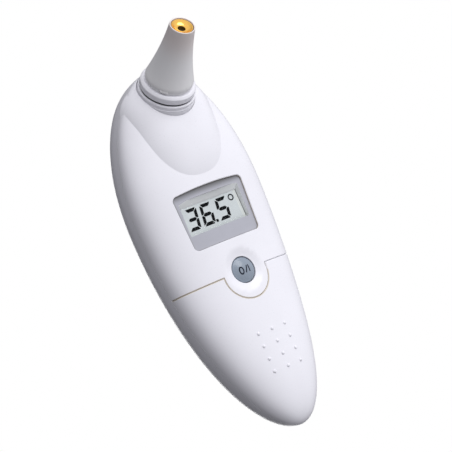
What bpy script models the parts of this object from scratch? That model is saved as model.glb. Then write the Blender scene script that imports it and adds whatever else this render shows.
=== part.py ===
"""Infrared ear thermometer: a slim egg-shaped handset with a tilted probe at its head.

Metres, +Z up. The handset lies on its flat back (z = 0), its face upwards. +Y runs
to the head, +X to the right of the face. The origin is on the flat back, under the
power button. The script builds every piece in place, one object for each.
"""

import math

import bmesh
import bpy
from mathutils import Matrix, Vector

MM = 0.001
GAP = 0.3 * MM

# Handset body: half width and heights above and below the parting line.
BODY_HALF_WIDTH = 25.0 * MM
BODY_WIDEST_Y = 25.2 * MM
BODY_HEAD_Y = 70.68 * MM
BODY_TAIL_Y = -52.2 * MM
FRONT_HEIGHT = 10.6 * MM
REAR_HEIGHT = 13.86 * MM
HEAD_PLAN = (2.142, 1.84)
TAIL_PLAN = (1.86, 1.93)
FRONT_END_POWER = {"head": 1.5, "tail": 4.6}
REAR_END_POWER = {"head": 12.0, "tail": 4.3}
FRONT_SECTION_POWER = 2.3
REAR_SECTION_POWER = 2.95
PARTING_Z = 13.26 * MM
PARTING_SLOPE = -0.007
PARTING_CURVE = 1.4
WALL = 1.8 * MM
SEAM = 0.3 * MM

# Hood that rises over the head and carries the probe.
HOOD_CENTRE = Vector((0.0, 53.73 * MM, 15.26 * MM))
HOOD_HALF_WIDTH = 17.3 * MM
HOOD_TO_TAIL = 29.2 * MM
HOOD_TO_HEAD = 14.9 * MM
HOOD_UP = 12.0 * MM
HOOD_DOWN = 5.0 * MM
HOOD_SECTION_POWER = 2.32
HOOD_END_POWER = 2.42

# Probe: its axis leans from straight up towards the head. Heights along it are
# measured from the tip, negative towards the handset.
PROBE_LEAN = math.radians(31.3)
PROBE_TIP = Vector((0.0, 75.96 * MM, 46.92 * MM))
TIP_RADIUS = 4.16 * MM
CONE_FOOT = -20.4 * MM
CONE_LAND = -21.4 * MM
SPIGOT_RADIUS = 6.6 * MM
SPIGOT_END = -29.5 * MM
RING_RADIUS = 9.08 * MM
RING_TOP = -22.3 * MM
RING_BOTTOM = -25.0 * MM
COLLAR_RADIUS = 9.6 * MM
COLLAR_TOP = -25.35 * MM
COLLAR_BOTTOM = -31.0 * MM
COLLAR_BORE = 6.9 * MM
SOCKET_RADIUS = 11.6 * MM
SOCKET_BOTTOM = -32.8 * MM

# Face: window, button dish, seam of the battery cover and its grip nubs.
WINDOW_X = -0.45 * MM
WINDOW_LOW_Y = 10.6 * MM
WINDOW_HIGH_Y = 29.1 * MM
WINDOW_LOW_HALF = 13.1 * MM
WINDOW_HIGH_HALF = 13.87 * MM
WINDOW_CROWN = 0.55 * MM
WINDOW_CORNER = 1.6 * MM
SIGHT_LOW = (-12.67 * MM, 15.6 * MM)
SIGHT_HIGH = (11.45 * MM, 27.0 * MM)
BEZEL_INSET = 0.7 * MM
LENS_THICK = 0.4 * MM
DISH_RADIUS = 7.0 * MM
DISH_DEPTH = 0.8 * MM
BUTTON_RADIUS = 4.2 * MM
BUTTON_TOP = 23.55 * MM
SEAM_Y = -0.3 * MM
LOBE_CENTRE_Y = -1.2 * MM
LOBE_RADIUS = 8.4 * MM
NUB_COLUMNS = (-5.42 * MM, 0.0, 5.42 * MM)
NUB_FIRST_Y = -20.65 * MM
NUB_PITCH_Y = -4.25 * MM
NUB_ROWS = 4
NUB_RADIUS = 0.64 * MM
NUB_SUNK = 0.24 * MM

# Inside.
BOARD_TOP = 12.6 * MM
BOARD_THICK = 1.2 * MM
BOARD_BOTTOM = BOARD_TOP - BOARD_THICK
LCD_TOP = 21.4 * MM
LCD_THICK = 1.5 * MM
BEZEL_BOTTOM = 19.9 * MM
CELL_RADIUS = 10.0 * MM
CELL_THICK = 3.2 * MM
CELL_CENTRE = Vector((0.0, -24.0 * MM, 11.9 * MM))
TRAY_FLOOR = 9.0 * MM
SCAN_Y = 49.0 * MM
SCAN_RADIUS = 5.5 * MM
SCAN_FLANGE_Z = 7.1 * MM
HOUSING_SCREWS = ((-13.6, 44.0), (13.6, 44.0), (-17.2, 6.6), (17.2, 6.6))
BOARD_SCREWS = ((-11.4, 35.2), (11.4, 35.2))
BOSS_RADIUS = 3.4 * MM
SCREW_SHANK = 0.95 * MM
SCREW_HEAD = 1.9 * MM
SHOULDER_Z = 9.0 * MM

MATERIALS = {
    "housing": ((0.86, 0.86, 0.90), 0.32, 0.0),
    "probe_shell": ((0.78, 0.77, 0.78), 0.35, 0.0),
    "lens": ((0.90, 0.93, 0.94), 0.05, 0.0),
    "bezel": ((0.45, 0.45, 0.52), 0.45, 0.0),
    "lcd": ((0.58, 0.64, 0.62), 0.15, 0.0),
    "reflector": ((0.70, 0.72, 0.70), 0.40, 0.3),
    "holder": ((0.80, 0.80, 0.78), 0.55, 0.0),
    "elastomer": ((0.90, 0.55, 0.62), 0.70, 0.0),
    "button": ((0.24, 0.28, 0.36), 0.45, 0.0),
    "silicone": ((0.62, 0.64, 0.66), 0.70, 0.0),
    "board": ((0.03, 0.22, 0.10), 0.45, 0.0),
    "chip": ((0.03, 0.03, 0.035), 0.50, 0.0),
    "steel": ((0.62, 0.63, 0.65), 0.30, 1.0),
    "ceramic": ((0.55, 0.42, 0.28), 0.55, 0.0),
    "beeper": ((0.05, 0.05, 0.055), 0.45, 0.0),
    "tray": ((0.82, 0.82, 0.84), 0.50, 0.0),
    "contact": ((0.75, 0.70, 0.55), 0.30, 1.0),
    "gold": ((0.85, 0.56, 0.16), 0.22, 1.0),
    "filter": ((0.02, 0.02, 0.02), 0.20, 0.0),
    "heat_sink": ((0.70, 0.56, 0.30), 0.35, 1.0),
    "cable": ((0.12, 0.12, 0.13), 0.60, 0.0),
    "connector": ((0.86, 0.84, 0.78), 0.50, 0.0),
    "seal": ((0.10, 0.10, 0.11), 0.75, 0.0),
    "label": ((0.74, 0.75, 0.78), 0.45, 0.0),
}


# ---------------------------------------------------------------- helpers

def clear_scene():
    """Remove every object, so that the script starts from nothing."""
    for obj in list(bpy.data.objects):
        bpy.data.objects.remove(obj, do_unlink=True)


def material(slot):
    """The Principled material of a slot, made on first use."""
    found = bpy.data.materials.get(slot)
    if found:
        return found
    colour, roughness, metallic = MATERIALS[slot]
    made = bpy.data.materials.new(slot)
    made.use_nodes = True
    shader = made.node_tree.nodes["Principled BSDF"]
    shader.inputs["Base Color"].default_value = (*colour, 1.0)
    shader.inputs["Roughness"].default_value = roughness
    shader.inputs["Metallic"].default_value = metallic
    return made


def link(obj):
    """Put an object in the thermometer's collection."""
    bpy.data.collections["ear_thermometer"].objects.link(obj)
    return obj


def from_bmesh(name, shape, outward=True):
    """A new object from a bmesh. outward turns all its faces to point out."""
    if outward:
        shape.normal_update()
        bmesh.ops.recalc_face_normals(shape, faces=shape.faces)
    mesh = bpy.data.meshes.new(name)
    shape.to_mesh(mesh)
    shape.free()
    return link(bpy.data.objects.new(name, mesh))


def bake(obj, outward=True):
    """Turn an object and its modifiers into a plain mesh object in world space.

    outward is False for a form with a sealed hollow, whose inner faces point inwards.
    """
    bpy.context.view_layer.update()
    graph = bpy.context.evaluated_depsgraph_get()
    mesh = bpy.data.meshes.new_from_object(obj.evaluated_get(graph))
    mesh.transform(obj.matrix_world)
    shape = bmesh.new()
    shape.from_mesh(mesh)
    bmesh.ops.remove_doubles(shape, verts=shape.verts, dist=1e-7)
    bmesh.ops.dissolve_degenerate(shape, edges=shape.edges, dist=1e-7)
    name = obj.name
    bpy.data.objects.remove(obj)
    return from_bmesh(name, shape, outward)


def combine(target, tool, operation):
    """Apply one exact Boolean to target and remove the tool."""
    modifier = target.modifiers.new(operation, "BOOLEAN")
    modifier.object = tool
    modifier.operation = operation
    modifier.solver = "EXACT"
    result = bake(target, outward=False)
    bpy.data.objects.remove(tool)
    return result


def cut(target, tool):
    """Take the tool's volume away from target."""
    return combine(target, tool, "DIFFERENCE")


def join(target, tool):
    """Fuse the tool's volume to target."""
    return combine(target, tool, "UNION")


def keep(target, tool):
    """Keep only what target and tool share."""
    return combine(target, tool, "INTERSECT")


def box(low, high, name="box"):
    """A box between two corners."""
    shape = bmesh.new()
    bmesh.ops.create_cube(shape, size=1.0)
    low, high = Vector(low), Vector(high)
    size = high - low
    bmesh.ops.scale(shape, vec=size, verts=shape.verts)
    bmesh.ops.translate(shape, vec=(low + high) / 2, verts=shape.verts)
    return from_bmesh(name, shape)


def cylinder(radius, low, high, centre=(0.0, 0.0), top_radius=None, segments=32,
             name="cylinder"):
    """An upright cylinder or cone frustum from height low to height high."""
    shape = bmesh.new()
    bmesh.ops.create_cone(
        shape, cap_ends=True, segments=segments, radius1=radius,
        radius2=radius if top_radius is None else top_radius, depth=high - low)
    middle = Vector((centre[0], centre[1], (low + high) / 2))
    bmesh.ops.translate(shape, vec=middle, verts=shape.verts)
    return from_bmesh(name, shape)


def turned(profile, steps=32, name="turned"):
    """A turned solid. The profile lists (radius, height), down its outer side first."""
    mesh = bpy.data.meshes.new(name)
    closed = min(radius for radius, _ in profile) > 0
    count = len(profile)
    edges = [(i, (i + 1) % count) for i in range(count if closed else count - 1)]
    mesh.from_pydata([(radius, 0.0, height) for radius, height in profile], edges, [])
    obj = link(bpy.data.objects.new(name, mesh))
    screw = obj.modifiers.new("Turn", "SCREW")
    screw.axis = "Z"
    screw.angle = 2 * math.pi
    screw.steps = steps
    screw.render_steps = steps
    screw.use_merge_vertices = True
    screw.merge_threshold = 1e-6
    return bake(obj)


def prism(outline, low, high, name="prism"):
    """A flat outline of (x, y) points, raised from height low to height high."""
    curve = bpy.data.curves.new(name, "CURVE")
    curve.dimensions = "2D"
    curve.fill_mode = "BOTH"
    curve.extrude = (high - low) / 2
    spline = curve.splines.new("POLY")
    spline.points.add(len(outline) - 1)
    for point, (x, y) in zip(spline.points, outline):
        point.co = (x, y, 0.0, 1.0)
    spline.use_cyclic_u = True
    obj = link(bpy.data.objects.new(name, curve))
    obj.location.z = (low + high) / 2
    return bake(obj)


def arc(centre, radius, start, end, count):
    """Points along an arc, its angles in degrees."""
    points = []
    for step in range(count + 1):
        angle = math.radians(start + (end - start) * step / count)
        x = centre[0] + radius * math.cos(angle)
        y = centre[1] + radius * math.sin(angle)
        points.append((x, y))
    return points


def rounded_box(low, high, radius, bottom, top, name="rounded_box"):
    """An upright box whose four vertical edges are rounded."""
    corners = (
        ((high[0] - radius, high[1] - radius), 0),
        ((low[0] + radius, high[1] - radius), 90),
        ((low[0] + radius, low[1] + radius), 180),
        ((high[0] - radius, low[1] + radius), 270))
    outline = []
    for centre, start in corners:
        outline += arc(centre, radius, start, start + 90, 3)
    return prism(outline, bottom, top, name)


def strip(points, width, thickness, name):
    """A bent metal strip: a run of (y, z) points, given width and thickness."""
    shape = bmesh.new()
    rows = []
    for y, z in points:
        left = shape.verts.new((-width / 2, y, z))
        right = shape.verts.new((width / 2, y, z))
        rows.append((left, right))
    for (a, b), (c, d) in zip(rows, rows[1:]):
        shape.faces.new((a, b, d, c))
    obj = from_bmesh(name, shape)
    solidify = obj.modifiers.new("Thickness", "SOLIDIFY")
    solidify.thickness = thickness
    solidify.offset = 0.0
    return bake(obj)


def on_probe(obj):
    """Move a piece made along +Z from the tip to its place on the probe's axis."""
    obj.matrix_world = Matrix.Translation(PROBE_TIP) @ Matrix.Rotation(-PROBE_LEAN, 4, "X")
    return bake(obj)


def finish(obj, name, slot, origin=(0.0, 0.0, 0.0)):
    """Name a piece, give it its material and put its origin where it belongs."""
    obj.name = name
    obj.data.name = name
    obj.data.materials.clear()
    obj.data.materials.append(material(slot))
    obj.data.transform(Matrix.Translation(-Vector(origin)))
    obj.location = origin
    obj.data.shade_smooth()
    obj.data.set_sharp_from_angle(angle=math.radians(35))
    return obj


# ---------------------------------------------------------------- body form

def parting_height(y):
    """Height of the line where the front and rear covers meet."""
    return PARTING_Z + PARTING_SLOPE * y + PARTING_CURVE * y * y


def end_share(y, inset):
    """How far y is from the widest place to the end of the body, 0 to 1."""
    if y > BODY_WIDEST_Y:
        reach = BODY_HEAD_Y - inset - BODY_WIDEST_Y
        return min((y - BODY_WIDEST_Y) / reach, 1.0), "head"
    reach = BODY_WIDEST_Y - BODY_TAIL_Y - inset
    return min((BODY_WIDEST_Y - y) / reach, 1.0), "tail"


def body_sizes(y, inset):
    """Half width, front height and rear height of the body at y, inset all round."""
    share, end = end_share(y, inset)
    power, root = HEAD_PLAN if end == "head" else TAIL_PLAN
    half = (BODY_HALF_WIDTH - inset) * (1 - share ** power) ** (1 / root)
    front = (FRONT_HEIGHT - inset) * math.sqrt(1 - share ** FRONT_END_POWER[end])
    rear = (REAR_HEIGHT - inset) * math.sqrt(1 - share ** REAR_END_POWER[end])
    return half, front, rear


def face_height(x, y, inset=0.0):
    """Height of the front of the body over a point."""
    half, front, _ = body_sizes(y, inset)
    rise = (1 - min(abs(x) / half, 1.0) ** FRONT_SECTION_POWER) ** (1 / FRONT_SECTION_POWER)
    return parting_height(y) + front * rise


def signed_power(value, power):
    """A power that keeps the value's sign."""
    return math.copysign(abs(value) ** power, value)


def body(inset=0.0, segments=36, rings=26):
    """The egg-shaped body, made smaller by inset on every side."""
    shape = bmesh.new()
    bmesh.ops.create_uvsphere(shape, u_segments=segments, v_segments=rings, radius=1.0)
    middle = (BODY_HEAD_Y + BODY_TAIL_Y) / 2
    reach = (BODY_HEAD_Y - BODY_TAIL_Y) / 2 - inset
    for vert in shape.verts:
        across, around, along = vert.co
        flat = math.hypot(across, around) or 1.0
        y = middle + reach * max(-1.0, min(1.0, along))
        half, front, rear = body_sizes(y, inset)
        height, power = (front, FRONT_SECTION_POWER)
        if around < 0:
            height, power = (rear, REAR_SECTION_POWER)
        x = half * signed_power(across / flat, 2 / power)
        z = parting_height(y) + height * signed_power(around / flat, 2 / power)
        vert.co = (x, y, z)
    return from_bmesh("body", shape)


def hood(inset=0.0, segments=28, rings=18):
    """The hood: a squared ball with its own reach up, down, to the head and the tail."""
    shape = bmesh.new()
    bmesh.ops.create_uvsphere(shape, u_segments=segments, v_segments=rings, radius=1.0)
    for vert in shape.verts:
        across, around, along = vert.co
        flat = math.hypot(across, around) or 1.0
        ring = flat ** (2 / HOOD_END_POWER)
        x = ring * signed_power(across / flat, 2 / HOOD_SECTION_POWER)
        y = signed_power(along, 2 / HOOD_END_POWER)
        z = ring * signed_power(around / flat, 2 / HOOD_SECTION_POWER)
        x *= HOOD_HALF_WIDTH - inset
        y *= (HOOD_TO_HEAD if along > 0 else HOOD_TO_TAIL) - inset
        z *= (HOOD_UP if around > 0 else HOOD_DOWN) - inset
        vert.co = HOOD_CENTRE + Vector((x, y, z))
    return from_bmesh("hood", shape)


def below_parting(shift):
    """A block that fills everything below the parting line, raised by shift."""
    ends = 90 * MM
    steps = 18
    outline = []
    for step in range(steps + 1):
        y = -ends + 2 * ends * step / steps
        outline.append((y, parting_height(y) + shift))
    outline.append((ends, -ends))
    outline.append((-ends, -ends))
    block = prism(outline, -ends, ends, "below_parting")
    block.rotation_euler = (math.pi / 2, 0.0, math.pi / 2)
    return bake(block)


def tail_region(shift):
    """A block over the battery cover's plan, its edge moved back by shift."""
    side = 60 * MM
    edge = SEAM_Y - shift
    radius = LOBE_RADIUS + shift
    dip = math.degrees(math.asin((edge - LOBE_CENTRE_Y) / radius))
    outline = [(-side, edge)]
    outline += arc((0.0, LOBE_CENTRE_Y), radius, 180 - dip, 360 + dip, 20)
    outline += [(side, edge), (side, -2 * side), (-side, -2 * side)]
    return prism(outline, -side, side, "tail_region")


def window_outline(inset=0.0):
    """Outline of the display window: wider at the head end, with a crowned top."""
    radius = WINDOW_CORNER - inset / 2
    low, high = WINDOW_LOW_Y + inset, WINDOW_HIGH_Y - inset
    low_half, high_half = WINDOW_LOW_HALF - inset, WINDOW_HIGH_HALF - inset
    outline = arc((high_half - radius, high - radius), radius, 0, 80, 4)
    for step in range(1, 8):
        share = 1 - step / 4
        x = share * (high_half - radius)
        outline.append((x, high + WINDOW_CROWN * (1 - share * share)))
    outline += arc((-high_half + radius, high - radius), radius, 100, 180, 4)
    outline += arc((-low_half + radius, low + radius), radius, 180, 270, 4)
    outline += arc((low_half - radius, low + radius), radius, 270, 360, 4)
    return [(x + WINDOW_X, y) for x, y in outline]


# ---------------------------------------------------------------- covers

def boss_columns():
    """Columns for the four housing screws, from the back to the face."""
    columns = []
    for x, y in HOUSING_SCREWS:
        place = (x * MM, y * MM)
        columns.append(cylinder(BOSS_RADIUS, -5 * MM, 40 * MM, place, segments=12))
    return columns


def board_posts():
    """Posts in the rear cover, on which the circuit board rests."""
    posts = []
    for x, y in BOARD_SCREWS:
        place = (x * MM, y * MM)
        posts.append(cylinder(2.4 * MM, -5 * MM, BOARD_BOTTOM - GAP, place, segments=10))
    return posts


def hollow():
    """The space inside the covers, with the bosses, posts and probe socket left solid."""
    space = join(body(WALL, 24, 16), hood(WALL, 20, 12))
    for solid in boss_columns() + board_posts():
        space = cut(space, solid)
    socket = cylinder(SOCKET_RADIUS, SOCKET_BOTTOM, -20 * MM, segments=24)
    return cut(space, on_probe(socket))


def probe_bore():
    """The stepped bore that holds the neck collar."""
    wide = cylinder(COLLAR_RADIUS + GAP, COLLAR_BOTTOM - GAP, 10 * MM, segments=32)
    narrow = cylinder(7.2 * MM, SOCKET_BOTTOM - MM, COLLAR_BOTTOM + MM, segments=20)
    return on_probe(join(wide, narrow))


def screw_holes(target):
    """Cut the counterbores and pilot holes of the housing screws."""
    for x, y in HOUSING_SCREWS:
        place = (x * MM, y * MM)
        target = cut(target, cylinder(2.35 * MM, -5 * MM, SHOULDER_Z, place, segments=14))
        target = cut(target, cylinder(1.25 * MM, 4 * MM, 18.2 * MM, place, segments=10))
    for x, y in BOARD_SCREWS:
        place = (x * MM, y * MM)
        target = cut(target, cylinder(1.25 * MM, 6 * MM, 14 * MM, place, segments=10))
    return target


def housing():
    """Front and rear cover as one hollow form, before it is split."""
    shell = join(body(), hood())
    shell = cut(shell, hollow())
    shell = cut(shell, probe_bore())
    side = 90 * MM
    return cut(shell, box((-side, -side, -side), (side, side, 0.0)))


def rear_cover(shell):
    """Rear cover, with screw bosses, the scan button's hole and the label's pocket."""
    cover = keep(shell, below_parting(-SEAM / 2))
    cover = screw_holes(cover)
    hole = cylinder(SCAN_RADIUS + GAP, -5 * MM, 10 * MM, (0.0, SCAN_Y), segments=20)
    cover = cut(cover, hole)
    pocket = rounded_box((-8.5 * MM, 6 * MM), (8.5 * MM, 19 * MM), MM, -MM, 0.6 * MM)
    return finish(cut(cover, pocket), "rear_cover", "housing")


def button_dish():
    """A shallow dish round the power button: the low part of a large ball."""
    rim = face_height(0.0, 0.0)
    ball = (DISH_RADIUS ** 2 + DISH_DEPTH ** 2) / (2 * DISH_DEPTH)
    centre = rim - DISH_DEPTH + ball
    reach = DISH_RADIUS + 3 * MM
    top = centre - math.sqrt(ball ** 2 - reach ** 2)
    profile = [(0.0, top + 4 * MM), (reach, top + 4 * MM)]
    for step in range(6):
        radius = reach * (1 - step / 5)
        profile.append((radius, centre - math.sqrt(ball ** 2 - radius ** 2)))
    dish = turned(profile, 28)
    dish.rotation_euler.z = math.radians(3)
    return bake(dish)


def front_cover(shell):
    """Front cover, with the hood, the window, the button dish and its hole."""
    cover = cut(shell, below_parting(SEAM / 2))
    cover = cut(cover, prism(window_outline(), 15 * MM, 40 * MM))
    cover = cut(cover, button_dish())
    cover = cut(cover, cylinder(BUTTON_RADIUS + GAP, 15 * MM, 40 * MM))
    cover = screw_holes(cover)
    cover = cut(cover, tail_region(-SEAM / 2))
    return finish(cover, "front_cover", "housing")


def grip_nubs():
    """The field of small grip nubs, as one form of separate balls."""
    shape = bmesh.new()
    for row in range(NUB_ROWS):
        y = NUB_FIRST_Y + row * NUB_PITCH_Y
        for x in NUB_COLUMNS:
            centre = Vector((x, y, face_height(x, y) - NUB_SUNK))
            bmesh.ops.create_uvsphere(
                shape, u_segments=8, v_segments=4, radius=NUB_RADIUS,
                matrix=Matrix.Translation(centre))
    return from_bmesh("nubs", shape)


def battery_cover(shell):
    """Battery cover, with grip nubs and two tongues that hook under the front cover."""
    cover = cut(shell, below_parting(SEAM / 2))
    cover = keep(cover, tail_region(SEAM / 2))
    for side in (-1, 1):
        inner, outer = sorted((side * 11 * MM, side * 15 * MM))
        hook = box((inner, -4 * MM, 17.9 * MM), (outer, 2 * MM, 19.1 * MM))
        riser = box((inner, -4 * MM, 18 * MM), (outer, -1.4 * MM, 21.4 * MM))
        cover = join(cover, join(hook, riser))
    cover = join(cover, grip_nubs())
    return finish(cover, "battery_cover", "housing", (0.0, -24 * MM, 18 * MM))


# ---------------------------------------------------------------- display

def display_lens():
    """Clear window that fills the bezel's opening, over the LCD."""
    low = LCD_TOP + GAP
    lens = rounded_box((SIGHT_LOW[0] + GAP, SIGHT_LOW[1] + GAP),
                       (SIGHT_HIGH[0] - GAP, SIGHT_HIGH[1] - GAP), 0.5 * MM,
                       low, low + LENS_THICK)
    return finish(lens, "display_lens", "lens")


def display_bezel():
    """Grey frame in the window, curved with the face, with a pocket for the LCD below."""
    flange = rounded_box((-15.2 * MM, 9.6 * MM), (14.3 * MM, 30.6 * MM), 2 * MM,
                         BEZEL_BOTTOM, 30 * MM)
    flange = keep(flange, body(WALL + GAP, 24, 20))
    riser = prism(window_outline(GAP), BEZEL_BOTTOM + 0.2 * MM, 30 * MM)
    riser = keep(riser, body(BEZEL_INSET, 36, 26))
    bezel = join(flange, riser)
    pocket = box((-12.97 * MM, 13.0 * MM, 0.0), (11.9 * MM, 28.2 * MM, LCD_TOP + GAP))
    sight = box((*SIGHT_LOW, 0.0), (*SIGHT_HIGH, 30 * MM))
    return finish(cut(cut(bezel, pocket), sight), "display_bezel", "bezel")


def lcd_pieces():
    """LCD cell, its rear reflector, the holder and the elastomer contact strip."""
    bottom = LCD_TOP - LCD_THICK
    glass = rounded_box((-12.67 * MM, 13.3 * MM), (11.6 * MM, 27.9 * MM), 0.4 * MM,
                        bottom, LCD_TOP)
    finish(glass, "lcd_glass", "lcd")
    mirror = rounded_box((-11.6 * MM, 15.6 * MM), (11.2 * MM, 27.6 * MM), 0.4 * MM,
                         bottom - 0.6 * MM, bottom - GAP)
    finish(mirror, "lcd_reflector", "reflector")
    low = BOARD_TOP + GAP
    holder = rounded_box((-14.0 * MM, 11.4 * MM), (14.0 * MM, 30.6 * MM), MM, low,
                         bottom - GAP)
    well = box((-11.9 * MM, 13.0 * MM, 0.0), (11.9 * MM, 29.6 * MM, 30 * MM))
    finish(cut(holder, well), "lcd_holder", "holder")
    elastomer = box((-11.5 * MM, 13.4 * MM, low), (11.5 * MM, 15.1 * MM, bottom - GAP))
    finish(elastomer, "zebra_strip", "elastomer")


# ---------------------------------------------------------------- buttons

def power_button():
    """Power button: a slightly domed cap with a retaining flange and a stem."""
    edge = BUTTON_TOP - 0.35 * MM
    profile = [
        (0.0, BUTTON_TOP), (2.1 * MM, BUTTON_TOP - 0.06 * MM),
        (3.6 * MM, edge + 0.1 * MM), (BUTTON_RADIUS, edge - 0.25 * MM),
        (BUTTON_RADIUS, 21.6 * MM), (5.6 * MM, 21.6 * MM), (5.6 * MM, 20.9 * MM),
        (2.8 * MM, 20.9 * MM), (2.8 * MM, 16.6 * MM), (0.0, 16.6 * MM)]
    cap = turned(profile, 24)
    finish(cap, "power_button", "button", (0.0, 0.0, BUTTON_TOP))


def rubber_dome(name, centre, fixed, free, base, crown):
    """A silicone dome between the board (fixed) and a button (free)."""
    foot = math.copysign(0.5 * MM, free - fixed)
    profile = [
        (crown, free), (crown + 0.3 * MM, free - foot), (base - 1.2 * MM, fixed + foot),
        (base, fixed + foot), (base, fixed), (0.0, fixed)]
    profile = [(0.0, free)] + profile
    if free < fixed:
        profile.reverse()
    dome = turned(profile, 16)
    dome.location = (centre[0], centre[1], 0.0)
    finish(bake(dome), name, "silicone", (centre[0], centre[1], fixed))


def scan_button():
    """Scan button in the back of the head: flush with the shell, a little proud."""
    button = cylinder(SCAN_RADIUS, 0.0, SCAN_FLANGE_Z + MM, (0.0, SCAN_Y), segments=20)
    button = keep(button, body(-0.4 * MM, 36, 26))
    flange = cylinder(6.5 * MM, SCAN_FLANGE_Z, SCAN_FLANGE_Z + 0.8 * MM, (0.0, SCAN_Y),
                      segments=20)
    button = join(button, flange)
    finish(button, "scan_button", "button", (0.0, SCAN_Y, SCAN_FLANGE_Z))


# ---------------------------------------------------------------- electronics

def main_board():
    """Circuit board, narrow at the bosses and wide under the display."""
    half = [
        (9.4, -8.6), (13.0, -4.0), (13.0, 11.0), (14.6, 12.5), (14.6, 38.4),
        (9.6, 40.0), (9.6, 56.6)]
    right = [(x * MM, y * MM) for x, y in half]
    left = [(-x, y) for x, y in reversed(right)]
    board = prism(right + left, BOARD_BOTTOM, BOARD_TOP, "board")
    for x, y in BOARD_SCREWS:
        place = (x * MM, y * MM)
        board = cut(board, cylinder(1.25 * MM, 0.0, 30 * MM, place, segments=12))
    finish(board, "main_pcb", "board")


def chip(name, centre, size, slot="chip", over=True):
    """A packaged part on the board, above it or below it."""
    low = BOARD_TOP + GAP if over else BOARD_BOTTOM - GAP - size[2] * MM
    corner = Vector(((centre[0] - size[0] / 2) * MM, (centre[1] - size[1] / 2) * MM, low))
    far = corner + Vector(size) * MM
    body_box = box(corner, far)
    bevel = body_box.modifiers.new("Edges", "BEVEL")
    bevel.width = 0.12 * MM
    bevel.segments = 1
    finish(bake(body_box), name, slot)


def board_parts():
    """The parts soldered to the board."""
    chip("microcontroller", (0.0, 22.5), (10.0, 10.0, 1.5))
    chip("memory_chip", (6.5, 3.5), (5.0, 4.0, 1.5), over=False)
    for number, y in enumerate((2.2, 5.2, 8.2), start=1):
        chip(f"capacitor_{number}", (-9.8, y), (3.2, 1.6, 1.4), "ceramic")
    crystal = cylinder(1.5 * MM, 0.0, 8 * MM, segments=20)
    crystal.rotation_euler = (0.0, math.pi / 2, 0.0)
    crystal.location = (-4.0 * MM, 33.2 * MM, BOARD_TOP + GAP + 1.5 * MM)
    finish(bake(crystal), "crystal", "steel")
    top = BOARD_BOTTOM - GAP
    case = [
        (0.0, top), (5.6 * MM, top), (6.0 * MM, top - 0.4 * MM), (6.0 * MM, top - 3.4 * MM),
        (5.6 * MM, top - 3.8 * MM), (1.2 * MM, top - 3.8 * MM),
        (1.2 * MM, top - 2.0 * MM), (0.0, top - 2.0 * MM)]
    beeper = turned(case, 18)
    beeper.location = (0.0, 20 * MM, 0.0)
    finish(bake(beeper), "beeper", "beeper", (0.0, 20 * MM, top))
    low = BOARD_TOP + GAP
    block = box((-4 * MM, 38.5 * MM, low), (4 * MM, 42.5 * MM, low + 3.4 * MM))
    mouth = box((-3.2 * MM, 41 * MM, low + MM), (3.2 * MM, 43 * MM, low + 2.8 * MM))
    finish(cut(block, mouth), "sensor_connector", "connector")


def smooth_path(points, per_span=4):
    """Points along a Catmull-Rom curve through the given points."""
    knots = [2 * points[0] - points[1]] + points + [2 * points[-1] - points[-2]]
    path = []
    for first in range(len(points) - 1):
        a, b, c, d = knots[first:first + 4]
        for step in range(per_span):
            t = step / per_span
            path.append(0.5 * (2 * b + (c - a) * t + (2 * a - 5 * b + 4 * c - d) * t ** 2
                               + (3 * b - a - 3 * c + d) * t ** 3))
    path.append(points[-1])
    return path


def sensor_cable():
    """Cable from the sensor down the probe to the connector on the board."""
    axis = Vector((0.0, math.sin(PROBE_LEAN), math.cos(PROBE_LEAN)))
    points = [PROBE_TIP + axis * height * MM for height in (-10.3, -18.0, -26.0, -31.0)]
    points.append(Vector((0.0, 55.2 * MM, 17.8 * MM)))
    points.append(Vector((0.0, 49.0 * MM, 15.1 * MM)))
    points.append(Vector((0.0, 42.9 * MM, BOARD_TOP + GAP + 1.9 * MM)))
    path = smooth_path(points)
    curve = bpy.data.curves.new("sensor_cable", "CURVE")
    curve.dimensions = "3D"
    curve.bevel_depth = 0.75 * MM
    curve.bevel_resolution = 1
    curve.use_fill_caps = True
    spline = curve.splines.new("POLY")
    spline.points.add(len(path) - 1)
    for point, place in zip(spline.points, path):
        point.co = (*place, 1.0)
    finish(bake(link(bpy.data.objects.new("cable", curve))), "sensor_cable", "cable")


# ---------------------------------------------------------------- battery

def coin_cell():
    """Lithium coin cell, 20 mm across and 3.2 mm thick, plus side up."""
    top, low = CELL_THICK, 0.0
    profile = [
        (0.0, top), (CELL_RADIUS - 0.4 * MM, top), (CELL_RADIUS, top - 0.4 * MM),
        (CELL_RADIUS, low + 0.6 * MM), (CELL_RADIUS - 0.9 * MM, low + 0.5 * MM),
        (CELL_RADIUS - 1.2 * MM, low), (0.0, low)]
    cell = turned(profile, 28)
    cell.location = CELL_CENTRE
    finish(bake(cell), "coin_cell", "steel", CELL_CENTRE)


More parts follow.
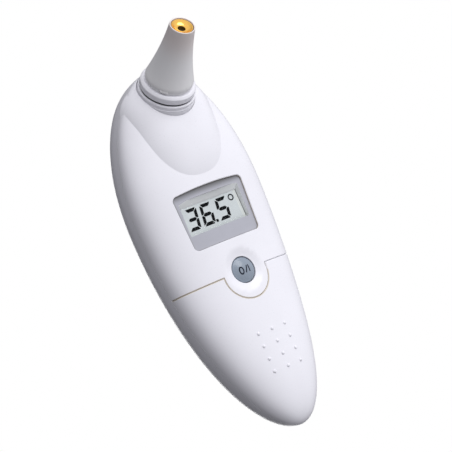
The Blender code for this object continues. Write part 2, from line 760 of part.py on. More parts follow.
def battery_tray():
    """Round tray for the coin cell, on three legs, with a finger notch and a slot."""
    place = (CELL_CENTRE.x, CELL_CENTRE.y)
    rim = CELL_CENTRE.z + CELL_THICK + 0.3 * MM
    tray = cylinder(12.3 * MM, TRAY_FLOOR, rim, place, segments=28)
    pocket = cylinder(CELL_RADIUS + 0.35 * MM, TRAY_FLOOR + 1.2 * MM, rim + MM, place,
                      segments=28)
    tray = cut(tray, pocket)
    slot = box((-2.6 * MM, place[1] + 9.6 * MM, TRAY_FLOOR + 1.2 * MM),
               (2.6 * MM, place[1] + 14 * MM, rim + MM))
    tray = cut(tray, slot)
    notch = cylinder(5.5 * MM, CELL_CENTRE.z + MM, rim + MM,
                     (0.0, place[1] - 13.5 * MM), segments=16)
    tray = cut(tray, notch)
    for angle in (90, 210, 330):
        turn = math.radians(angle)
        leg = (place[0] + 7 * MM * math.cos(turn), place[1] + 7 * MM * math.sin(turn))
        post = cylinder(1.6 * MM, 5.6 * MM, TRAY_FLOOR + 0.4 * MM, leg, segments=12)
        tray = join(tray, post)
    finish(tray, "battery_tray", "tray")


def battery_contacts():
    """Spring strip under the cell, and the clip that hooks over its edge."""
    y = CELL_CENTRE.y
    floor = TRAY_FLOOR + 1.2 * MM
    under = [
        (y - 7.5 * MM, floor + 0.5 * MM), (y - 2 * MM, floor + 1.25 * MM),
        (y + 1.5 * MM, floor + 1.25 * MM), (y + 7.5 * MM, floor + 0.5 * MM)]
    finish(strip(under, 4 * MM, 0.3 * MM, "minus"), "battery_contact_minus", "contact")
    top = CELL_CENTRE.z + CELL_THICK + 0.5 * MM
    over = [
        (y + 6.0 * MM, top + 0.6 * MM), (y + 7.5 * MM, top), (y + 10.9 * MM, top),
        (y + 11.1 * MM, BOARD_TOP + 0.8 * MM), (y + 15.8 * MM, BOARD_TOP + 0.8 * MM),
        (y + 17.4 * MM, BOARD_TOP + 0.55 * MM)]
    finish(strip(over, 4 * MM, 0.3 * MM, "plus"), "battery_contact_plus", "contact")


# ---------------------------------------------------------------- probe

def cone_radius(height):
    """Outer radius of the probe cone, height mm below the tip as a negative number."""
    depth = -height / MM
    return TIP_RADIUS + (0.06 * depth + 0.006 * depth ** 2) * MM


def probe_cone():
    """Flared probe shell with its spigot and three small locking lugs."""
    outer = []
    steps = 6
    for step in range(steps + 1):
        height = CONE_FOOT * step / steps
        outer.append((cone_radius(height), height))
    foot = cone_radius(CONE_FOOT) + 0.05 * MM
    profile = outer + [
        (foot, CONE_LAND), (7.5 * MM, CONE_LAND), (7.5 * MM, RING_TOP + GAP),
        (SPIGOT_RADIUS, RING_TOP + GAP), (SPIGOT_RADIUS, SPIGOT_END),
        (5.2 * MM, SPIGOT_END), (5.2 * MM, -15 * MM), (3.72 * MM, -9.5 * MM),
        (3.72 * MM, 0.0)]
    cone = turned(profile, 28)
    for angle in (100, 220, 340):
        lug = box((7.2 * MM, -0.7 * MM, CONE_LAND - 0.45 * MM),
                  (7.95 * MM, 0.7 * MM, CONE_LAND + 0.3 * MM))
        lug.rotation_euler.z = math.radians(angle)
        cone = join(cone, bake(lug))
    finish(on_probe(cone), "probe_cone", "probe_shell")


def probe_rings():
    """Flange ring, seal and the neck collar that the covers clamp."""
    ring = [
        (7.6 * MM, RING_TOP), (8.5 * MM, RING_TOP - 0.35 * MM),
        (RING_RADIUS, RING_TOP - 1.1 * MM), (RING_RADIUS, RING_BOTTOM),
        (COLLAR_BORE, RING_BOTTOM), (COLLAR_BORE, RING_TOP)]
    finish(on_probe(turned(ring, 28)), "probe_flange_ring", "housing")
    seal_height = COLLAR_TOP - 0.7 * MM
    tube = arc((7.75 * MM, seal_height), 0.6 * MM, 90, -225, 7)
    finish(on_probe(turned(tube, 20)), "probe_seal", "seal")
    groove = COLLAR_TOP - 1.55 * MM
    collar = [
        (COLLAR_RADIUS - 0.3 * MM, COLLAR_TOP), (COLLAR_RADIUS, COLLAR_TOP - 0.3 * MM),
        (COLLAR_RADIUS, COLLAR_BOTTOM), (COLLAR_BORE, COLLAR_BOTTOM),
        (COLLAR_BORE, groove), (8.7 * MM, groove), (8.7 * MM, COLLAR_TOP)]
    finish(on_probe(turned(collar, 28)), "neck_collar", "housing")


def sensor():
    """Gold cup with its wave guide, window, thermopile can and heat-sink sleeve."""
    aperture, guide = 1.27 * MM, 2.2 * MM
    cup = [
        (3.42 * MM, -0.3 * MM), (3.42 * MM, -1.4 * MM), (guide, -2.2 * MM),
        (guide, -5.9 * MM), (aperture, -5.9 * MM), (aperture, -1.25 * MM),
        (2.0 * MM, -1.0 * MM), (2.8 * MM, -0.6 * MM), (3.2 * MM, -0.3 * MM)]
    finish(on_probe(turned(cup, 20)), "sensor_cup", "gold")
    window = cylinder(aperture - GAP, -2.4 * MM, -2.1 * MM, segments=20)
    finish(on_probe(window), "sensor_window", "filter")
    can = [
        (0.0, -6.2 * MM), (2.2 * MM, -6.2 * MM), (2.35 * MM, -6.4 * MM),
        (2.35 * MM, -9.3 * MM), (2.7 * MM, -9.3 * MM), (2.7 * MM, -9.7 * MM),
        (0.0, -9.7 * MM)]
    finish(on_probe(turned(can, 16)), "sensor_can", "steel")
    sleeve = [
        (3.42 * MM, -3.0 * MM), (3.42 * MM, -9.2 * MM), (4.1 * MM, -12.5 * MM),
        (3.0 * MM, -12.5 * MM), (3.0 * MM, -9.0 * MM), (2.65 * MM, -9.0 * MM),
        (2.65 * MM, -6.0 * MM), (2.5 * MM, -6.0 * MM), (2.5 * MM, -3.0 * MM)]
    finish(on_probe(turned(sleeve, 20)), "sensor_sleeve", "heat_sink")


# ---------------------------------------------------------------- fasteners

def pan_screw(name, place, under_head, tip, head_up):
    """A pan-head screw: its head's underside at under_head, its point at tip."""
    away = 1 if head_up else -1
    top = under_head + away * 1.3 * MM
    profile = [
        (0.0, top), (1.4 * MM, top), (SCREW_HEAD, top - away * 0.5 * MM),
        (SCREW_HEAD, under_head), (SCREW_SHANK, under_head),
        (SCREW_SHANK, tip + away * 0.9 * MM), (0.0, tip)]
    if not head_up:
        profile.reverse()
    screw = turned(profile, 10)
    screw.location = (place[0] * MM, place[1] * MM, 0.0)
    finish(bake(screw), name, "steel", (place[0] * MM, place[1] * MM, under_head))


def screws():
    """Four housing screws from the back, two board screws from the front."""
    for number, place in enumerate(HOUSING_SCREWS, start=1):
        pan_screw(f"housing_screw_{number}", place, SHOULDER_Z - GAP, 17.6 * MM, False)
    for number, place in enumerate(BOARD_SCREWS, start=1):
        pan_screw(f"pcb_screw_{number}", place, BOARD_TOP + GAP, 6.6 * MM, True)


def rating_label():
    """Blank label in the pocket of the back."""
    label = rounded_box((-8.1 * MM, 6.4 * MM), (8.1 * MM, 18.6 * MM), 0.7 * MM,
                        0.08 * MM, 0.3 * MM)
    finish(label, "rating_label", "label")


def copy_of(obj):
    """A second object with its own copy of the mesh."""
    return link(bpy.data.objects.new(obj.name, obj.data.copy()))


def build():
    """Make every piece of the thermometer."""
    clear_scene()
    group = bpy.data.collections.new("ear_thermometer")
    bpy.context.scene.collection.children.link(group)
    shell = housing()
    rear_cover(copy_of(shell))
    battery_cover(copy_of(shell))
    front_cover(shell)
    display_lens()
    display_bezel()
    lcd_pieces()
    power_button()
    rubber_dome("power_button_dome", (0.0, 0.0), BOARD_TOP + GAP, 16.3 * MM,
                4.6 * MM, 2.2 * MM)
    scan_button()
    rubber_dome("scan_button_dome", (0.0, SCAN_Y), BOARD_BOTTOM - GAP,
                SCAN_FLANGE_Z + 1.1 * MM, 4.6 * MM, 2.2 * MM)
    main_board()
    board_parts()
    sensor_cable()
    coin_cell()
    battery_tray()
    battery_contacts()
    probe_cone()
    probe_rings()
    sensor()
    screws()
    rating_label()


build()
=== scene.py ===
"""Looks of the infrared ear thermometer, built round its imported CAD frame.

Metres, +Z up. The handset lies on its flat back (z = 0) with its face upwards, +Y
runs to the head and the probe, +X to the right of the face.
"""

import math

import bmesh
import bpy
import numpy as np
from mathutils import Matrix, Vector

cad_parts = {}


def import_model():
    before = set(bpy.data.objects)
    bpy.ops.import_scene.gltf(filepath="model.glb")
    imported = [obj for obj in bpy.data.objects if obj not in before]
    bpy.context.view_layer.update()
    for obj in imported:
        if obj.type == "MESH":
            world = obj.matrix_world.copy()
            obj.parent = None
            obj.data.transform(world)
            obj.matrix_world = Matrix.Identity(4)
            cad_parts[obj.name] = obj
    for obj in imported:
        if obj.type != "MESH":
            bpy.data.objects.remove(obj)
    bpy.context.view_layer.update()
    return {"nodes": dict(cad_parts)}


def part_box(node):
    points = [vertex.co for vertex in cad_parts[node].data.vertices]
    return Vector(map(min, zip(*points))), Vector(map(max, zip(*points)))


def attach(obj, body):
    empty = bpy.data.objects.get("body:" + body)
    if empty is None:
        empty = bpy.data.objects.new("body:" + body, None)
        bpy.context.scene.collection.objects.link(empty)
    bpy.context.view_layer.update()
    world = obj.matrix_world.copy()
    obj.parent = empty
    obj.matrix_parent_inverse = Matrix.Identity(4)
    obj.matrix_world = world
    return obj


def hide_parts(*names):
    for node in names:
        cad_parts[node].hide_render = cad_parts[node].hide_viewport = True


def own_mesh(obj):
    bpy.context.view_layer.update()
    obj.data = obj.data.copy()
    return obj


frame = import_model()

MM = 0.001


def mm(*values):
    """Millimetres as metres."""
    return tuple(value * MM for value in values)


GAP = 0.3 * MM
ON_FORM = 0.09 * MM
ALONG_X = (math.pi / 2, 0.0, math.pi / 2)

# Camera: the way towards it and its upward direction, in the object's frame.
CAMERA_PLACE = Vector((-0.34011, -0.02727, 0.51649))
CAMERA_TOWARD = Vector((-0.5668, -0.0702, 0.8208))
CAMERA_UP = Vector((0.2993, 0.9107, 0.2846))
CAMERA_LENS = 150.53

# Light: a dome that is brightest towards the key, a soft key over the right of the
# head, and a fill that reaches the back from below on the right.
KEY_DIRECTION = Vector((0.32, 0.54, 0.78))
KEY_SIZE = 0.5
KEY_POWER = 2.6
FILL_DIRECTION = Vector((0.45, -0.15, -0.88))
FILL_SIZE = 0.8
FILL_POWER = 2.6
LIGHT_DISTANCE = 0.9
DOME_DARK = (0.035, 0.035, 0.042)
DOME_LIGHT = (1.0, 1.0, 1.03)
WHITE = (1.0, 1.0, 1.0, 1.0)
DOME_START = 0.23
DOME_END = 0.92

# Handset body, as in the CAD.
BODY_HALF_WIDTH = 25.0 * MM
BODY_WIDEST_Y = 25.2 * MM
BODY_HEAD_Y = 70.68 * MM
BODY_TAIL_Y = -52.2 * MM
FRONT_HEIGHT = 10.6 * MM
REAR_HEIGHT = 13.86 * MM
HEAD_PLAN = (2.142, 1.84)
TAIL_PLAN = (1.86, 1.93)
FRONT_END_POWER = (1.5, 4.6)
REAR_END_POWER = (12.0, 4.3)
FRONT_SECTION_POWER = 2.3
REAR_SECTION_POWER = 2.95
PARTING_Z = 13.26 * MM
PARTING_SLOPE = -0.007
PARTING_CURVE = 1.4
WALL = 1.8 * MM
SEAM = 0.1 * MM
SEAM_GROOVE = 0.3 * MM
PARTING_GROOVE = 0.07 * MM

# Hood over the head.
HOOD_CENTRE = Vector(mm(0, 53.73, 15.26))
HOOD_HALF_WIDTH = 17.3 * MM
HOOD_TO_TAIL = 29.2 * MM
HOOD_TO_HEAD = 14.9 * MM
HOOD_UP = 12.0 * MM
HOOD_DOWN = 5.0 * MM
HOOD_SECTION_POWER = 2.32
HOOD_END_POWER = 2.42

# Probe axis and the heights along it, measured from the tip.
PROBE_LEAN = math.radians(31.3)
PROBE_TIP = Vector(mm(0, 75.96, 46.92))
TIP_RADIUS = 4.16 * MM
CONE_FOOT = -20.4 * MM
CONE_LAND = -21.4 * MM
SPIGOT_RADIUS = 6.6 * MM
SPIGOT_END = -29.5 * MM
RING_RADIUS = 9.08 * MM
RING_TOP = -22.3 * MM
RING_BOTTOM = -25.0 * MM
COLLAR_RADIUS = 9.6 * MM
COLLAR_TOP = -25.35 * MM
COLLAR_BOTTOM = -31.0 * MM
COLLAR_BORE = 6.9 * MM
SOCKET_RADIUS = 11.6 * MM
SOCKET_BOTTOM = -32.8 * MM

# Face: window, display, dish and button, battery cover's seam, grip nubs.
WINDOW_X = -0.45 * MM
WINDOW_LOW_Y = 10.6 * MM
WINDOW_HIGH_Y = 29.1 * MM
WINDOW_LOW_HALF = 13.1 * MM
WINDOW_HIGH_HALF = 13.87 * MM
WINDOW_CROWN = 0.55 * MM
WINDOW_CORNER = 1.6 * MM
BEZEL_INSET = 0.7 * MM
SIGHT_LOW = mm(-12.67, 15.6)
SIGHT_HIGH = mm(11.45, 27.0)
LCD_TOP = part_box("lcd_glass")[1].z
LENS_THICK = 0.4 * MM
ZERO_CENTRE = Vector(mm(-1.3, -0.15))
ZERO_RADII = mm(0.68, 1.12)
DISH_RADIUS = 7.5 * MM
DISH_DEPTH = 1.0 * MM
BUTTON_RADIUS = 4.2 * MM
BUTTON_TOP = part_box("power_button")[1].z
CAP_SAG = 0.9 * MM
CAP_EDGE = 0.45 * MM
SEAM_Y = -0.3 * MM
LOBE_CENTRE_Y = -1.2 * MM
LOBE_RADIUS = 8.4 * MM
NUB_COLUMNS = mm(-5.42, 0, 5.42)
NUB_FIRST_Y = -20.65 * MM
NUB_PITCH_Y = -4.25 * MM
NUB_ROWS = 4
NUB_RADIUS = 0.64 * MM
NUB_SUNK = 0.24 * MM

# Digits of the display, their centre lines on the LCD's top.
# Each digit: its left, and its lit bars; each bar: its two ends in bar lengths and the
# side that faces out of the digit.
DIGITS = ((-11.2 * MM, "abgcd"), (-5.25 * MM, "afgedc"), (1.1 * MM, "afgcd"))
BARS = {"a": ((0, 2), (1, 2), 1), "b": ((1, 1), (1, 2), -1), "c": ((1, 0), (1, 1), -1),
        "d": ((0, 0), (1, 0), -1), "e": ((0, 0), (0, 1), 1), "f": ((0, 1), (0, 2), 1),
        "g": ((0, 1), (1, 1), 0)}
POINT_X = -0.47 * MM
DIGIT_LOW_Y = 17.7 * MM
DIGIT_WIDTH = 3.5 * MM
DIGIT_HEIGHT = 6.1 * MM
DIGIT_GAP = 0.13 * MM
DIGIT_SLANT = 0.156
DIGIT_STROKE = 1.12 * MM
DEGREE_CENTRE = mm(7.85, 23.2)
DEGREE_RADIUS = 0.9 * MM

# Inside.
BOARD_TOP = 12.6 * MM
BOARD_THICK = 1.2 * MM
CELL_CENTRE = Vector(mm(0, -24.0, 11.9))
CELL_RADIUS = 10.0 * MM
CELL_THICK = 3.2 * MM
TRAY_FLOOR = 9.0 * MM
SCAN_Y = 49.0 * MM
SCAN_RADIUS = 5.5 * MM
SCAN_FLANGE_Z = 7.1 * MM
HOUSING_SCREWS = mm(-13.6, 44.0), mm(13.6, 44.0), mm(-17.2, 6.6), mm(17.2, 6.6)
BOARD_SCREWS = mm(-11.4, 35.2), mm(11.4, 35.2)
BOSS_RADIUS = 3.4 * MM
SHOULDER_Z = 9.0 * MM


# ---------------------------------------------------------------- materials

def feed(tree, socket, value):
    """Set an input, or link a socket to it."""
    if isinstance(value, bpy.types.NodeSocket):
        tree.links.new(value, socket)
    else:
        socket.default_value = value


def node(tree, kind, **values):
    """Add a shader node and feed its inputs by name."""
    made = tree.nodes.new("ShaderNode" + kind)
    for name, value in values.items():
        feed(tree, made.inputs[name.replace("_", " ")], value)
    return made


def own_place(tree):
    """The object's own coordinates."""
    return node(tree, "TexCoord").outputs["Object"]


def noise(tree, place, scale):
    """A noise texture over some coordinates."""
    return node(tree, "TexNoise", Vector=place, Scale=scale, Detail=3.0).outputs["Fac"]


def spread(tree, source, low, high):
    """Map a noise's middle range to low..high."""
    return node(tree, "MapRange", Value=source, From_Min=0.3, From_Max=0.7, To_Min=low,
                To_Max=high).outputs["Result"]


def dot(tree, place, direction):
    """How far a point or direction lies along another direction."""
    made = tree.nodes.new("ShaderNodeVectorMath")
    made.operation = "DOT_PRODUCT"
    feed(tree, made.inputs[0], place)
    feed(tree, made.inputs[1], direction)
    return made.outputs["Value"]


def blended(tree, factor, first, second):
    """A colour between two colours, or two sockets."""
    made = tree.nodes.new("ShaderNodeMix")
    made.data_type = "RGBA"
    feed(tree, made.inputs["Factor"], factor)
    for index, value in ((6, first), (7, second)):
        plain = not isinstance(value, bpy.types.NodeSocket)
        feed(tree, made.inputs[index], (*value, 1.0) if plain else value)
    return made.outputs[2]


def mixed_shaders(tree, factor, first, second, output):
    """Mix two shaders and send them to an output node."""
    mix = tree.nodes.new("ShaderNodeMixShader")
    for index, socket in enumerate((factor, first, second)):
        feed(tree, mix.inputs[index], socket)
    node(tree, output, Surface=mix.outputs[0])


def surface(name, colour, roughness, metallic=0.0, drift=0.03, grain=0.01,
            grain_scale=2600.0, stretch=(1.0, 1.0, 1.0), second=None):
    """A Principled material whose colour, gloss and fine relief vary a little."""
    made = bpy.data.materials.new(name)
    made.use_nodes = True
    tree = made.node_tree
    inputs = shader_of(made).inputs
    inputs["Metallic"].default_value = metallic
    place = node(tree, "Mapping", Scale=stretch, Vector=own_place(tree)).outputs["Vector"]
    broad = noise(tree, place, 110.0)
    fine = noise(tree, place, grain_scale)
    low = [value * (1 - drift) for value in colour]
    high = second or [min(value * (1 + drift), 1.0) for value in colour]
    feed(tree, inputs["Base Color"], blended(tree, spread(tree, broad, 0.0, 1.0), low, high))
    feed(tree, inputs["Roughness"], spread(tree, fine, roughness * 0.88, roughness * 1.12))
    bump = node(tree, "Bump", Height=fine, Strength=0.6, Distance=grain * MM)
    feed(tree, inputs["Normal"], bump.outputs["Normal"])
    return made


def shader_of(material):
    """The Principled shader of a material."""
    return material.node_tree.nodes["Principled BSDF"]


def toned(material, direction, low, high, colour):
    """Blend a material's colour into another along a direction of the object."""
    tree = material.node_tree
    base = shader_of(material).inputs["Base Color"]
    share = node(tree, "MapRange", Value=dot(tree, own_place(tree), direction),
                 From_Min=low, From_Max=high)
    share.interpolation_type = "SMOOTHSTEP"
    tone = base.links[0].from_socket
    feed(tree, base, blended(tree, share.outputs["Result"], tone, colour))
    return material


def bezel_material():
    """Grey plastic with painted shade: darker towards the window's head edge as a painted shadow
    of the window's wall, and darker towards its left edge as painted shade.
    """
    made = surface("bezel_abs_painted_shade", (0.42, 0.425, 0.48), 0.42, drift=0.03, grain=0.006)
    # Painted shadow: dark towards the window's head edge, where the window's wall casts its
    # shadow.
    made = toned(made, (0.0, 1.0, 0.0), 26.9 * MM, 29.5 * MM, (0.13, 0.13, 0.135))
    # Painted shade: dark towards the left edge, the side that faces away from the light.
    return toned(made, (-1.0, -0.0416, 0.0), 12.2 * MM, 13.2 * MM, (0.20, 0.215, 0.215))


def probe_material():
    """Matt white plastic, a little warmer towards the probe's tip."""
    made = surface("probe_abs", (0.86, 0.855, 0.87), 0.36, drift=0.015, grain=0.004)
    axis = (0.0, math.sin(PROBE_LEAN), math.cos(PROBE_LEAN))
    tip = PROBE_TIP.dot(Vector(axis))
    return toned(made, axis, tip - 13 * MM, tip - 2 * MM, (0.78, 0.715, 0.705))


def lens_material():
    """Clear acrylic: almost invisible, with a faint reflection."""
    made = surface("clear_acrylic", (0.012, 0.013, 0.014), 0.04, drift=0.05, grain=0.0)
    shader_of(made).inputs["Alpha"].default_value = 0.03
    return made


def board_material():
    """Green solder mask over a grid of copper tracks."""
    made = surface("solder_mask", (0.015, 0.16, 0.07), 0.35, drift=0.12, grain=0.004)
    tree = made.node_tree
    base = shader_of(made).inputs["Base Color"]
    tracks = node(tree, "TexBrick", Vector=own_place(tree), Scale=260.0, Mortar_Size=0.09)
    feed(tree, base, blended(tree, tracks.outputs["Fac"], base.links[0].from_socket,
                             (0.03, 0.27, 0.11)))
    return made


# Slot: name, colour, roughness, metallic, drift of the colour, grain in millimetres.
FINISHES = {
    "housing": ("white_abs", (0.835, 0.83, 0.885), 0.30, 0.0, 0.012, 0.004),
    # edge: painted warm bounce light, a tan colour on the walls of the seam's groove and of the
    # window's edge.
    "edge": ("white_abs_edge", (0.70, 0.64, 0.56), 0.45, 0.0, 0.04, 0.004),
    "inside": ("white_abs_inside", (0.74, 0.74, 0.76), 0.5, 0.0, 0.03, 0.01),
    "lcd": ("lcd_glass_active", (0.64, 0.69, 0.70), 0.45, 0.0, 0.02, 0.0),
    "lcd_rim": ("lcd_glass_rim", (0.72, 0.76, 0.74), 0.45, 0.0, 0.03, 0.0),
    # slot: painted shade, a near-black for the walls of the display's opening and for a strip on
    # the LCD where the wall's shadow line falls.
    "slot": ("slot_abs", (0.10, 0.11, 0.105), 0.6, 0.0, 0.1),
    "ramp": ("ramp_abs", (0.80, 0.82, 0.83), 0.45, 0.0, 0.03, 0.004),
    "ink": ("segment_ink", (0.004, 0.005, 0.006), 0.6, 0.0, 0.2, 0.001),
    "reflector": ("reflector_film", (0.70, 0.72, 0.70), 0.40, 0.3),
    "holder": ("holder_abs", (0.80, 0.80, 0.78), 0.55, 0.0, 0.03, 0.02),
    "elastomer": ("zebra_rubber", (0.90, 0.55, 0.62), 0.70, 0.0, 0.05, 0.01, 2600.0,
                  (9.0, 1.0, 1.0), (0.20, 0.16, 0.17)),
    "button": ("button_abs", (0.25, 0.295, 0.36), 0.26, 0.0, 0.03, 0.006),
    "mark": ("mark_ink", (0.018, 0.022, 0.035), 0.6, 0.0, 0.1, 0.001),
    "silicone": ("silicone_rubber", (0.62, 0.64, 0.66), 0.70, 0.0, 0.03, 0.03),
    "chip": ("chip_epoxy", (0.025, 0.025, 0.028), 0.50, 0.0, 0.15, 0.02),
    "steel": ("steel", (0.60, 0.61, 0.63), 0.28, 1.0, 0.03, 0.006, 2600.0, (1.0, 6.0, 1.0)),
    "ceramic": ("ceramic", (0.55, 0.42, 0.28), 0.55, 0.0, 0.08, 0.01),
    "beeper": ("beeper_case", (0.05, 0.05, 0.055), 0.45, 0.0, 0.1, 0.02),
    "tray": ("tray_abs", (0.74, 0.74, 0.76), 0.50, 0.0, 0.03, 0.02),
    "contact": ("nickel", (0.70, 0.66, 0.56), 0.28, 1.0, 0.03, 0.006),
    "gold": ("gold_plate", (0.95, 0.56, 0.13), 0.20, 1.0, 0.06, 0.004, 1800.0),
    "filter": ("dark_filter", (0.004, 0.004, 0.005), 0.15, 0.0, 0.1, 0.001),
    "heat_sink": ("brass", (0.70, 0.56, 0.30), 0.35, 1.0, 0.03, 0.01),
    "cable": ("cable_jacket", (0.12, 0.12, 0.13), 0.60, 0.0, 0.1, 0.02),
    "connector": ("connector_nylon", (0.86, 0.84, 0.78), 0.50, 0.0, 0.03, 0.02),
    "seal": ("seal_rubber", (0.09, 0.09, 0.10), 0.75, 0.0, 0.1, 0.02),
    "label": ("label_film", (0.66, 0.67, 0.70), 0.45, 0.0, 0.02, 0.004),
}
MATERIALS = {slot: surface(*finish) for slot, finish in FINISHES.items()}
MATERIALS.update({"probe_shell": probe_material(), "lens": lens_material(),
                  "bezel": bezel_material(), "board": board_material()})
CAD_FINISHES = {
    "reflector": "lcd_reflector", "holder": "lcd_holder", "elastomer": "zebra_strip",
    "silicone": "power_button_dome scan_button_dome", "board": "main_pcb",
    "chip": "microcontroller memory_chip", "ceramic": "capacitor_1 capacitor_2 capacitor_3",
    "steel": "crystal sensor_can", "beeper": "beeper", "connector": "sensor_connector",
    "cable": "sensor_cable", "contact": "battery_contact_plus battery_contact_minus",
    "heat_sink": "sensor_sleeve"}
for slot in ("ink", "mark"):
    shader_of(MATERIALS[slot]).inputs["Specular IOR Level"].default_value = 0.05


# ---------------------------------------------------------------- mesh helpers

def linked(name, data):
    """A new object in the scene."""
    obj = bpy.data.objects.new(name, data)
    bpy.context.scene.collection.objects.link(obj)
    return obj


def turn_outward(shape):
    """Turn all faces of a bmesh to point out."""
    shape.normal_update()
    bmesh.ops.recalc_face_normals(shape, faces=shape.faces)


def mesh_of(name, shape, *materials):
    """A new mesh from a bmesh, which is freed."""
    mesh = bpy.data.meshes.new(name)
    shape.to_mesh(mesh)
    shape.free()
    for material in materials:
        mesh.materials.append(material)
    return mesh


def from_bmesh(name, shape, material="housing"):
    """A new object from a bmesh, its faces turned to point out."""
    turn_outward(shape)
    return linked(name, mesh_of(name, shape, MATERIALS[material]))


def bake(obj, outward=True):
    """Turn an object and its modifiers into a plain mesh object in world space."""
    bpy.context.view_layer.update()
    graph = bpy.context.evaluated_depsgraph_get()
    mesh = bpy.data.meshes.new_from_object(obj.evaluated_get(graph))
    mesh.transform(obj.matrix_world)
    shape = bmesh.new()
    shape.from_mesh(mesh)
    bmesh.ops.remove_doubles(shape, verts=shape.verts, dist=1e-7)
    bmesh.ops.dissolve_degenerate(shape, edges=shape.edges, dist=1e-7)
    if outward:
        turn_outward(shape)
    shape.to_mesh(mesh)
    shape.free()
    name = obj.name
    bpy.data.objects.remove(obj)
    return linked(name, mesh)


def at(obj, x, y, z=0.0):
    """Move an object made at the origin to its place."""
    obj.location = (x, y, z)
    return bake(obj)


def combine(target, tools, operation):
    """Apply exact Booleans to target, one after another, and remove the tools."""
    for tool in tools:
        modifier = target.modifiers.new(operation, "BOOLEAN")
        modifier.object = tool
        modifier.operation = operation
        modifier.solver = "EXACT"
        modifier.material_mode = "TRANSFER"
        target = bake(target, outward=False)
        bpy.data.objects.remove(tool)
    return target


def cut(target, *tools):
    """Take the tools' volumes away from target."""
    return combine(target, tools, "DIFFERENCE")


def join(target, *tools):
    """Fuse the tools' volumes to target."""
    return combine(target, tools, "UNION")


def keep(target, tool):
    """Keep only what target and tool share."""
    return combine(target, [tool], "INTERSECT")


def gather(name, parts):
    """Several separate solids as one object."""
    shape = bmesh.new()
    materials = []
    for part in parts:
        start = len(shape.faces)
        mesh = part.data
        mesh.transform(part.matrix_world)
        shape.from_mesh(mesh)
        shape.faces.ensure_lookup_table()
        materials += [each for each in mesh.materials if each not in materials]
        for face in shape.faces[start:]:
            face.material_index = materials.index(mesh.materials[face.material_index])
        bpy.data.objects.remove(part)
    return linked(name, mesh_of(name, shape, *materials))


def box(low, high, material="housing"):
    """A box between two corners."""
    shape = bmesh.new()
    bmesh.ops.create_cube(shape, size=1.0)
    low, high = Vector(low), Vector(high)
    bmesh.ops.scale(shape, vec=high - low, verts=shape.verts)
    bmesh.ops.translate(shape, vec=(low + high) / 2, verts=shape.verts)
    return from_bmesh("box", shape, material=material)


def bevelled(obj, width, segments):
    """An object with all its edges rounded."""
    bevel = obj.modifiers.new("Edges", "BEVEL")
    bevel.width = width
    bevel.segments = segments
    return bake(obj)


def block(low, high, radius, material="housing"):
    """A box whose edges are all rounded."""
    return bevelled(box(low, high, material), radius, 3)


def filleted(corners, steps=5):
    """A closed outline of (x, y, radius) corners, rounded, as (x, y) points."""
    points = []
    for index, (x, y, radius) in enumerate(corners):
        here = Vector((x, y))
        before = Vector(corners[index - 1][:2]) - here
        after = Vector(corners[(index + 1) % len(corners)][:2]) - here
        if radius <= 0:
            points.append((x, y))
            continue
        half = before.angle(after) / 2
        reach = min(radius / math.tan(half), 0.49 * before.length, 0.49 * after.length)
        first = before.normalized() * reach
        last = after.normalized() * reach
        middle = (first + last).normalized() * reach / math.cos(half)
        start = math.atan2(*(first - middle).yx)
        sweep = math.atan2(*(last - middle).yx) - start
        sweep = (sweep + math.pi) % (2 * math.pi) - math.pi
        size = (first - middle).length
        for step in range(steps + 1):
            angle = start + sweep * step / steps
            spot = here + middle + Vector((math.cos(angle), math.sin(angle))) * size
            points.append(tuple(spot))
    return points


def turned(profile, steps=96, material="housing"):
    """A turned solid from (radius, height) points, or (radius, height, fillet)."""
    if len(profile[0]) == 3:
        profile = filleted(profile)
    mesh = bpy.data.meshes.new("turned")
    closed = min(point[0] for point in profile) > 0
    count = len(profile)
    edges = [(i, (i + 1) % count) for i in range(count if closed else count - 1)]
    mesh.from_pydata([(radius, 0.0, height) for radius, height in profile], edges, [])
    mesh.materials.append(MATERIALS[material])
    obj = linked("turned", mesh)
    screw = obj.modifiers.new("Turn", "SCREW")
    screw.axis = "Z"
    screw.angle = 2 * math.pi
    screw.steps = steps
    screw.render_steps = steps
    screw.use_merge_vertices = True
    screw.merge_threshold = 1e-6
    return bake(obj)


def prism(outline, low, high, material="housing"):
    """A flat outline of (x, y) points, raised from height low to height high."""
    shape = bmesh.new()
    verts = [shape.verts.new((x, y, low)) for x, y in outline]
    face = shape.faces.new(verts)
    raised = bmesh.ops.extrude_face_region(shape, geom=[face])
    moved = [item for item in raised["geom"] if isinstance(item, bmesh.types.BMVert)]
    bmesh.ops.translate(shape, vec=(0.0, 0.0, high - low), verts=moved)
    return from_bmesh("prism", shape, material=material)


def arc(centre, radius, start, end, count):
    """Points along an arc, its angles in degrees."""
    points = []
    for step in range(count + 1):
        angle = math.radians(start + (end - start) * step / count)
        x = centre[0] + radius * math.cos(angle)
        y = centre[1] + radius * math.sin(angle)
        points.append((x, y))
    return points


def plate(low, high, radius, bottom, top, material="housing"):
    """An upright box whose four vertical edges are rounded."""
    corners = [(high[0], high[1], radius), (low[0], high[1], radius),
               (low[0], low[1], radius), (high[0], low[1], radius)]
    return prism(filleted(corners), bottom, top, material)


def cylinder(radius, low, high, centre=(0.0, 0.0), steps=48, material="housing"):
    """An upright cylinder."""
    obj = turned([(0.0, high), (radius, high), (radius, low), (0.0, low)], steps, material)
    obj.data.transform(Matrix.Translation((centre[0], centre[1], 0.0)))
    return obj


def ring(radius, half, low, high, steps, material):
    """A flat ring whose band reaches half to both sides of its radius."""
    inner, outer = radius - half, radius + half
    return turned([(inner, high), (outer, high), (outer, low), (inner, low)], steps, material)


def cross(reach, half, low, high):
    """A plus sign, as a cutter."""
    return join(*[box((-x, -y, low), (x, y, high), "steel")
                  for x, y in ((reach, half), (half, reach))])


